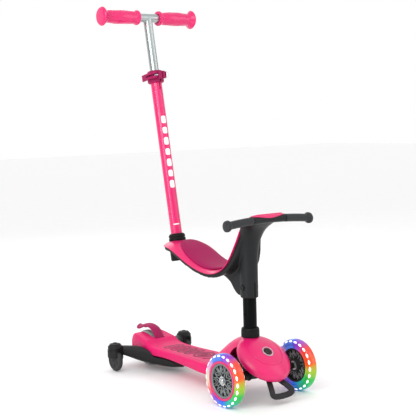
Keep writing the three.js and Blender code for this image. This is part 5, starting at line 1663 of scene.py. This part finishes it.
place_piece("push_bar_collar_ring", tube_collar.made("collar"), BLACK_DULL, "push_bar",
            ["push_bar_collar"])

# %% [markdown]
# ## Push bar tube
# The lower tube is painted pink. It is slit at the top so that the clamp can squeeze it round
# the stem. A row of plain white dashes decorates its front.

# %% Tube and white dashes
tube_form = Form().lathe([(TUBE_R - 1.5, 4.3), (TUBE_R, 4.3), (TUBE_R, TUBE_TOP), (TUBE_R - 1.5, TUBE_TOP)],
                         sides=80,
                         fillet=0.25)
tube_slit = Form().box((-1.2, -30, TUBE_TOP - 46), (1.2, 0, TUBE_TOP + 6))
tube_mesh = carved(tube_form.moved(PUSH_PLACE).made("tube"), [tube_slit.moved(PUSH_PLACE).made("tool")])
told(place_piece("push_bar_tube_painted", tube_mesh, PINK_PAINT, "push_bar", ["push_bar_tube"]))
PRINT_WHITE = finish("printed_white", (0.88, 0.88, 0.87), 0.35, grain=700, bump=0.04, drift=0.03)


def on_tube(form, centre_turn, centre_z, wide, tall, lift=0.12, steps=40):
    """A thin rounded patch of print on the tube."""
    ring = []
    for k in range(steps):
        turn = TAU * k / steps
        c, s = math.cos(turn), math.sin(turn)
        ring.append((wide / 2 * math.copysign(abs(c) ** 0.55, c),
                     tall / 2 * math.copysign(abs(s) ** 0.55, s)))
    rows = []
    for share, height in ((0.02, lift), (0.5, lift), (0.985, lift), (1.0, 0.0)):
        row = []
        for a, b in ring:
            turn = centre_turn + a * share / TUBE_R
            r = TUBE_R + height
            row.append((r * math.cos(turn), r * math.sin(turn), centre_z + b * share))
        rows.append(row)
    return form.shell(rows)


dashes = Form()
for k in range(7):
    z = 190 + 27 * k
    on_tube(dashes, math.radians(-98), z, 13, 19 - 2.5 * (k % 2))
on_tube(dashes, math.radians(-112), 90, 16, 3.2)
told(place_piece("tube_white_dashes", dashes.moved(PUSH_PLACE).made("dashes"), PRINT_WHITE, "push_bar"))

# %% [markdown]
# ## Height clamp
# A magenta clamp grips the slit tube. It has a rounded body, two lugs in front and a bolt through
# them, with a cam lever on one side that wraps round the body and a polished thumb nut on the other.

# %% Clamp body
clamp_low, clamp_high = 447.0, 477.0
clamp_mid = (clamp_low + clamp_high) / 2
CLAMP_R = 20.5
LUG_Y = -CLAMP_R - 6
LUG_HALF_W, LUG_HALF_H = 10, 9.5
clamp_form = Form().lathe([(0, clamp_low), (CLAMP_R - 1.2, clamp_low), (CLAMP_R, clamp_low + 2.5),
                           (CLAMP_R, clamp_high - 5), (CLAMP_R - 3, clamp_high), (0, clamp_high)], sides=72,
                           fillet=1.4)
lug_line = rounded([(-LUG_HALF_W, clamp_mid - LUG_HALF_H), (LUG_HALF_W, clamp_mid - LUG_HALF_H),
                    (LUG_HALF_W, clamp_mid + LUG_HALF_H), (-LUG_HALF_W, clamp_mid + LUG_HALF_H)], 4, 4)
lug = Form().shell([[(x * w, y, clamp_mid + (z - clamp_mid) * w) for x, z in lug_line]
                    for y, w in ((LUG_Y - 6, 0.86), (LUG_Y - 4.6, 1.0), (-TUBE_R - 3, 1.0), (-TUBE_R, 1.0))])
clamp_mesh = melted(clamp_form.add(lug).made("clamp"), 0.8, smooth=5)
clamp_tools = [
    Form().lathe([(0, 400), (TUBE_R + 0.3, 400), (TUBE_R + 0.3, TUBE_TOP + 0.3), (0, TUBE_TOP + 0.3)],
                 sides=64),
    Form().lathe([(0, 440), (STEM_R + 0.5, 440), (STEM_R + 0.5, 500), (0, 500)], sides=64),
    Form().box((-1.5, -60, clamp_low - 5), (1.5, -5, clamp_high + 5)),
    Form().lathe([(0, -60), (3.0, -60), (3.0, 60), (0, 60)],
                 sides=28).moved(shift(0, LUG_Y, clamp_mid) @ across()),
]
clamp_mesh = carved(clamp_mesh, [t.made("tool") for t in clamp_tools])
PUSH_WORLD = Matrix.Translation(at(0, 0, 0)) @ Matrix.Scale(MM, 4) @ PUSH_PLACE @ Matrix.Scale(1 / MM, 4) \
    @ Matrix.Translation(-at(0, 0, 0))
clamp_mesh.transform(PUSH_WORLD)
told(place_piece("height_clamp_body", clamp_mesh, MAGENTA, "push_bar", ["height_clamp"], crisp=45))

# %% Clamp bolt and thumb nut
BOLT_R, BOLT_FROM, BOLT_TO = 2.5, -19, 20
bolt = Form().lathe([(0, BOLT_FROM), (BOLT_R, BOLT_FROM), (BOLT_R, BOLT_TO - 0.6), (BOLT_R - 0.6, BOLT_TO),
                     (0, BOLT_TO)], sides=32, fillet=0.3)
bolt.moved(PUSH_PLACE @ shift(0, LUG_Y, clamp_mid) @ across())
place_piece("clamp_bolt_steel", bolt.made("bolt"), STEEL, "push_bar", ["clamp_bolt"])


def knurled(turn, x, y, z):
    """Fine teeth round the broad end of the nut."""
    wave = 1 + 0.025 * math.cos(18 * turn) if z < 15.5 else 1.0
    return (x * wave, y * wave, z)


nut = Form().lathe([(2.9, 10.6), (7.8, 10.6), (9.2, 11.6), (9.2, 14.2), (8.2, 16.0), (6.4, 17.8), (5.2, 19.4),
                    (2.9, 19.4)], sides=90, fillet=0.5, bend=knurled)
nut.moved(PUSH_PLACE @ shift(0, LUG_Y, clamp_mid) @ across())
CHROME = finish("bright_chrome", (0.80, 0.84, 0.84), 0.14, metallic=1.0, grain=800, bump=0.02, drift=0.05)
told(place_piece("clamp_thumb_nut", nut.made("nut"), CHROME, "push_bar", ["clamp_nut"]))

# %% [markdown]
# The lever is a curved plate in two layers with a window between them, through which the bolt's
# barrel shows. It turns about a line beside the lugs, so its piece rides the lever's own body.

# %% Cam lever
LEVER_X = -18.0
lever_outline = [(LEVER_X - 5.0, LUG_Y - 1.5), (LEVER_X - 2.0, LUG_Y - 4.8), (LEVER_X + 2.6, LUG_Y - 4.4),
                 (LEVER_X + 5.0, LUG_Y), (LEVER_X + 2.8, LUG_Y + 4.2), (LEVER_X - 0.9, LUG_Y + 5.4),
                 (-22.2, -14), (-22.6, -8), (-22.7, 0), (-22.4, 8), (-23.4, 20), (-24.8, 22), (-26.7, 20.6),
                 (-27.2, 8), (-27.6, -2), (-27.4, -12), (-25.4, -20)]
lever_path = rounded(lever_outline, 2.2, 3)
lever = Form()
for low, high in ((clamp_mid - 8, clamp_mid - 2.2), (clamp_mid + 2.2, clamp_mid + 8)):
    rows = []
    for z, w in ((low, 0.93), (low + 0.9, 1.0), (high - 0.9, 1.0), (high, 0.93)):
        rows.append([(x + (LEVER_X - 3.5 - x) * (1 - w) * 0.5, y + (0 - y) * (1 - w) * 0.25, z)
                     for x, y in lever_path])
    lever.shell(rows)
tail = rounded([(-22.5, 2), (-22.6, 8), (-23.5, 20), (-24.8, 21.8), (-26.6, 20.4), (-27.1, 8), (-27.3, 2)],
               1.5, 3)
lever.shell([[(x, y, z) for x, y in tail] for z in (clamp_mid - 3, clamp_mid + 3)])
lever_mesh = melted(lever.made("lever"), 0.6, smooth=3)
swing = math.radians(110)
last = Vector((math.cos(swing), -math.sin(swing)))
beside = Vector((last.y, -last.x)) * 3
fan = [Vector((-3, 3)), Vector((40, 3))]
fan += [Vector((40 * math.cos(swing * k / 24), -40 * math.sin(swing * k / 24))) for k in range(25)]
fan += [last * 40 + beside, beside]
bolt_room = Form().shell([[(LEVER_X + p.x, LUG_Y + p.y, z) for p in fan]
                          for z in (clamp_mid - 3, clamp_mid + 3)])
lever_mesh = carved(lever_mesh, [bolt_room.made("tool")])
lever_mesh.transform(PUSH_WORLD)
told(place_piece("clamp_lever_plate", lever_mesh, MAGENTA, "clamp_lever", ["clamp_lever"],
                 crisp=45))

# %% [markdown]
# ## Polished T-bar
# The upper tube slides in the lower one and carries the cross bar. It is drawn steel, polished
# along its length, so its highlights run in long streaks. A small weld bead rings the joint.

# %% T-bar
stem_foot, STEM_TOP, CROSS_HALF = 300.0, 613.0, 131.0
stem = Form().lathe([(0, stem_foot), (STEM_R, stem_foot), (STEM_R, STEM_TOP), (0, STEM_TOP)], sides=72)
cross = Form().lathe([(0, -CROSS_HALF), (STEM_R, -CROSS_HALF), (STEM_R, CROSS_HALF), (0, CROSS_HALF)],
                     sides=72)
cross.moved(shift(0, 0, STEM_TOP) @ across())
bar_mesh = carved(stem.made("stem"), [cross.made("cross")], "UNION")
stem_bore = Form().lathe([(0, stem_foot - 5), (STEM_R - 1.6, stem_foot - 5), (STEM_R - 1.6, STEM_TOP - 4),
                          (0, STEM_TOP - 4)], sides=48)
cross_bore = Form().lathe([(0, -CROSS_HALF - 5), (STEM_R - 1.6, -CROSS_HALF - 5),
                           (STEM_R - 1.6, CROSS_HALF + 5),
                           (0, CROSS_HALF + 5)], sides=48)
cross_bore.moved(shift(0, 0, STEM_TOP) @ across())
bar_mesh = carved(bar_mesh, [stem_bore.made("tool"), cross_bore.made("tool")])
bar_mesh.transform(PUSH_WORLD)
told(place_piece("t_bar_polished", bar_mesh, ALLOY, "upper_bar", ["upper_bar"], crisp=40))
bead = Form()
rows = []
for k in range(64):
    turn = TAU * k / 64
    r = STEM_R + 0.1
    x, y = r * math.cos(turn), r * math.sin(turn)
    z = STEM_TOP - math.sqrt(max(STEM_R ** 2 - y * y, 0.0)) if abs(y) < STEM_R else STEM_TOP
    z = min(z, STEM_TOP - 2.0)
    rows.append([(x + 0.9 * math.cos(turn) * math.cos(TAU * j / 10),
                  y + 0.9 * math.sin(turn) * math.cos(TAU * j / 10),
                  z + 0.9 * math.sin(TAU * j / 10)) for j in range(10)])
bead.shell(rows, closed=True)
told(place_piece("t_bar_weld", bead.moved(PUSH_PLACE).made("weld"), ALLOY, "upper_bar"))

# %% [markdown]
# ## Parent's grips
# The two pink grips are soft moulded rubber with a flange at each end and a faint flowing relief.
# The relief is a slow wave in the radius, which follows both the angle and the length.

# %% Grips
GRIP_FROM, GRIP_TO = 30.0, 139.0
GRIP_R, FLANGE_R = 16.5, 23.5


def flowing(turn, x, y, z):
    """A shallow ripple in the grip's body that fades at both flanges."""
    fade = max(0.0, min(1.0, (z - GRIP_FROM - 10) / 8, (GRIP_TO - 20 - z) / 8))
    r = math.hypot(x, y)
    if r < GRIP_R - 2:
        return (x, y, z)
    wave = 1 + fade * 0.014 * math.sin(5 * turn + 0.16 * z) + fade * 0.010 * math.sin(3 * turn - 0.11 * z)
    return (x * wave, y * wave, z)


for label, way in (("right", -1), ("left", 1)):
    outer = [(STEM_R + 0.3, GRIP_FROM), (GRIP_R + 1.4, GRIP_FROM), (GRIP_R + 2.5, GRIP_FROM + 3.6),
             (GRIP_R + 0.4, GRIP_FROM + 8.4)]
    outer += [(GRIP_R - 1.2 + 2.0 * math.sin(math.pi * k / 24),
               GRIP_FROM + 10 + (GRIP_TO - GRIP_FROM - 26) * k / 24)
              for k in range(25)]
    outer += [(FLANGE_R - 3, GRIP_TO - 9.5), (FLANGE_R - 0.2, GRIP_TO - 6.4), (FLANGE_R, GRIP_TO - 4.6),
              (FLANGE_R - 2.6, GRIP_TO - 1.4), (FLANGE_R - 6, GRIP_TO - 0.4), (10, GRIP_TO), (0, GRIP_TO),
              (0, CROSS_HALF + 0.3), (STEM_R + 0.3, CROSS_HALF + 0.3)]
    grip_form = Form().lathe(outer, sides=96, fillet=1.0, bend=flowing)
    if way < 0:
        grip_form.moved(Matrix.Rotation(math.pi, 4, "X"))
    grip_form.moved(PUSH_PLACE @ shift(0, 0, STEM_TOP) @ across())
    told(place_piece(f"bar_grip_{label}_rubber", grip_form.made("grip"), PINK_GRIP, "upper_bar",
                     [f"bar_grip_{label}"], crisp=50))

# %% [markdown]
# ## Last look
# The visual model must keep the engineering model's size. The sizes of both boxes are printed.

# %% Size and finish
visual_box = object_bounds()
for name, pair in (("engineering", cad_box), ("visual", visual_box)):
    size = pair[1] - pair[0]
    print(name, "size in metres:", [round(v, 4) for v in size])
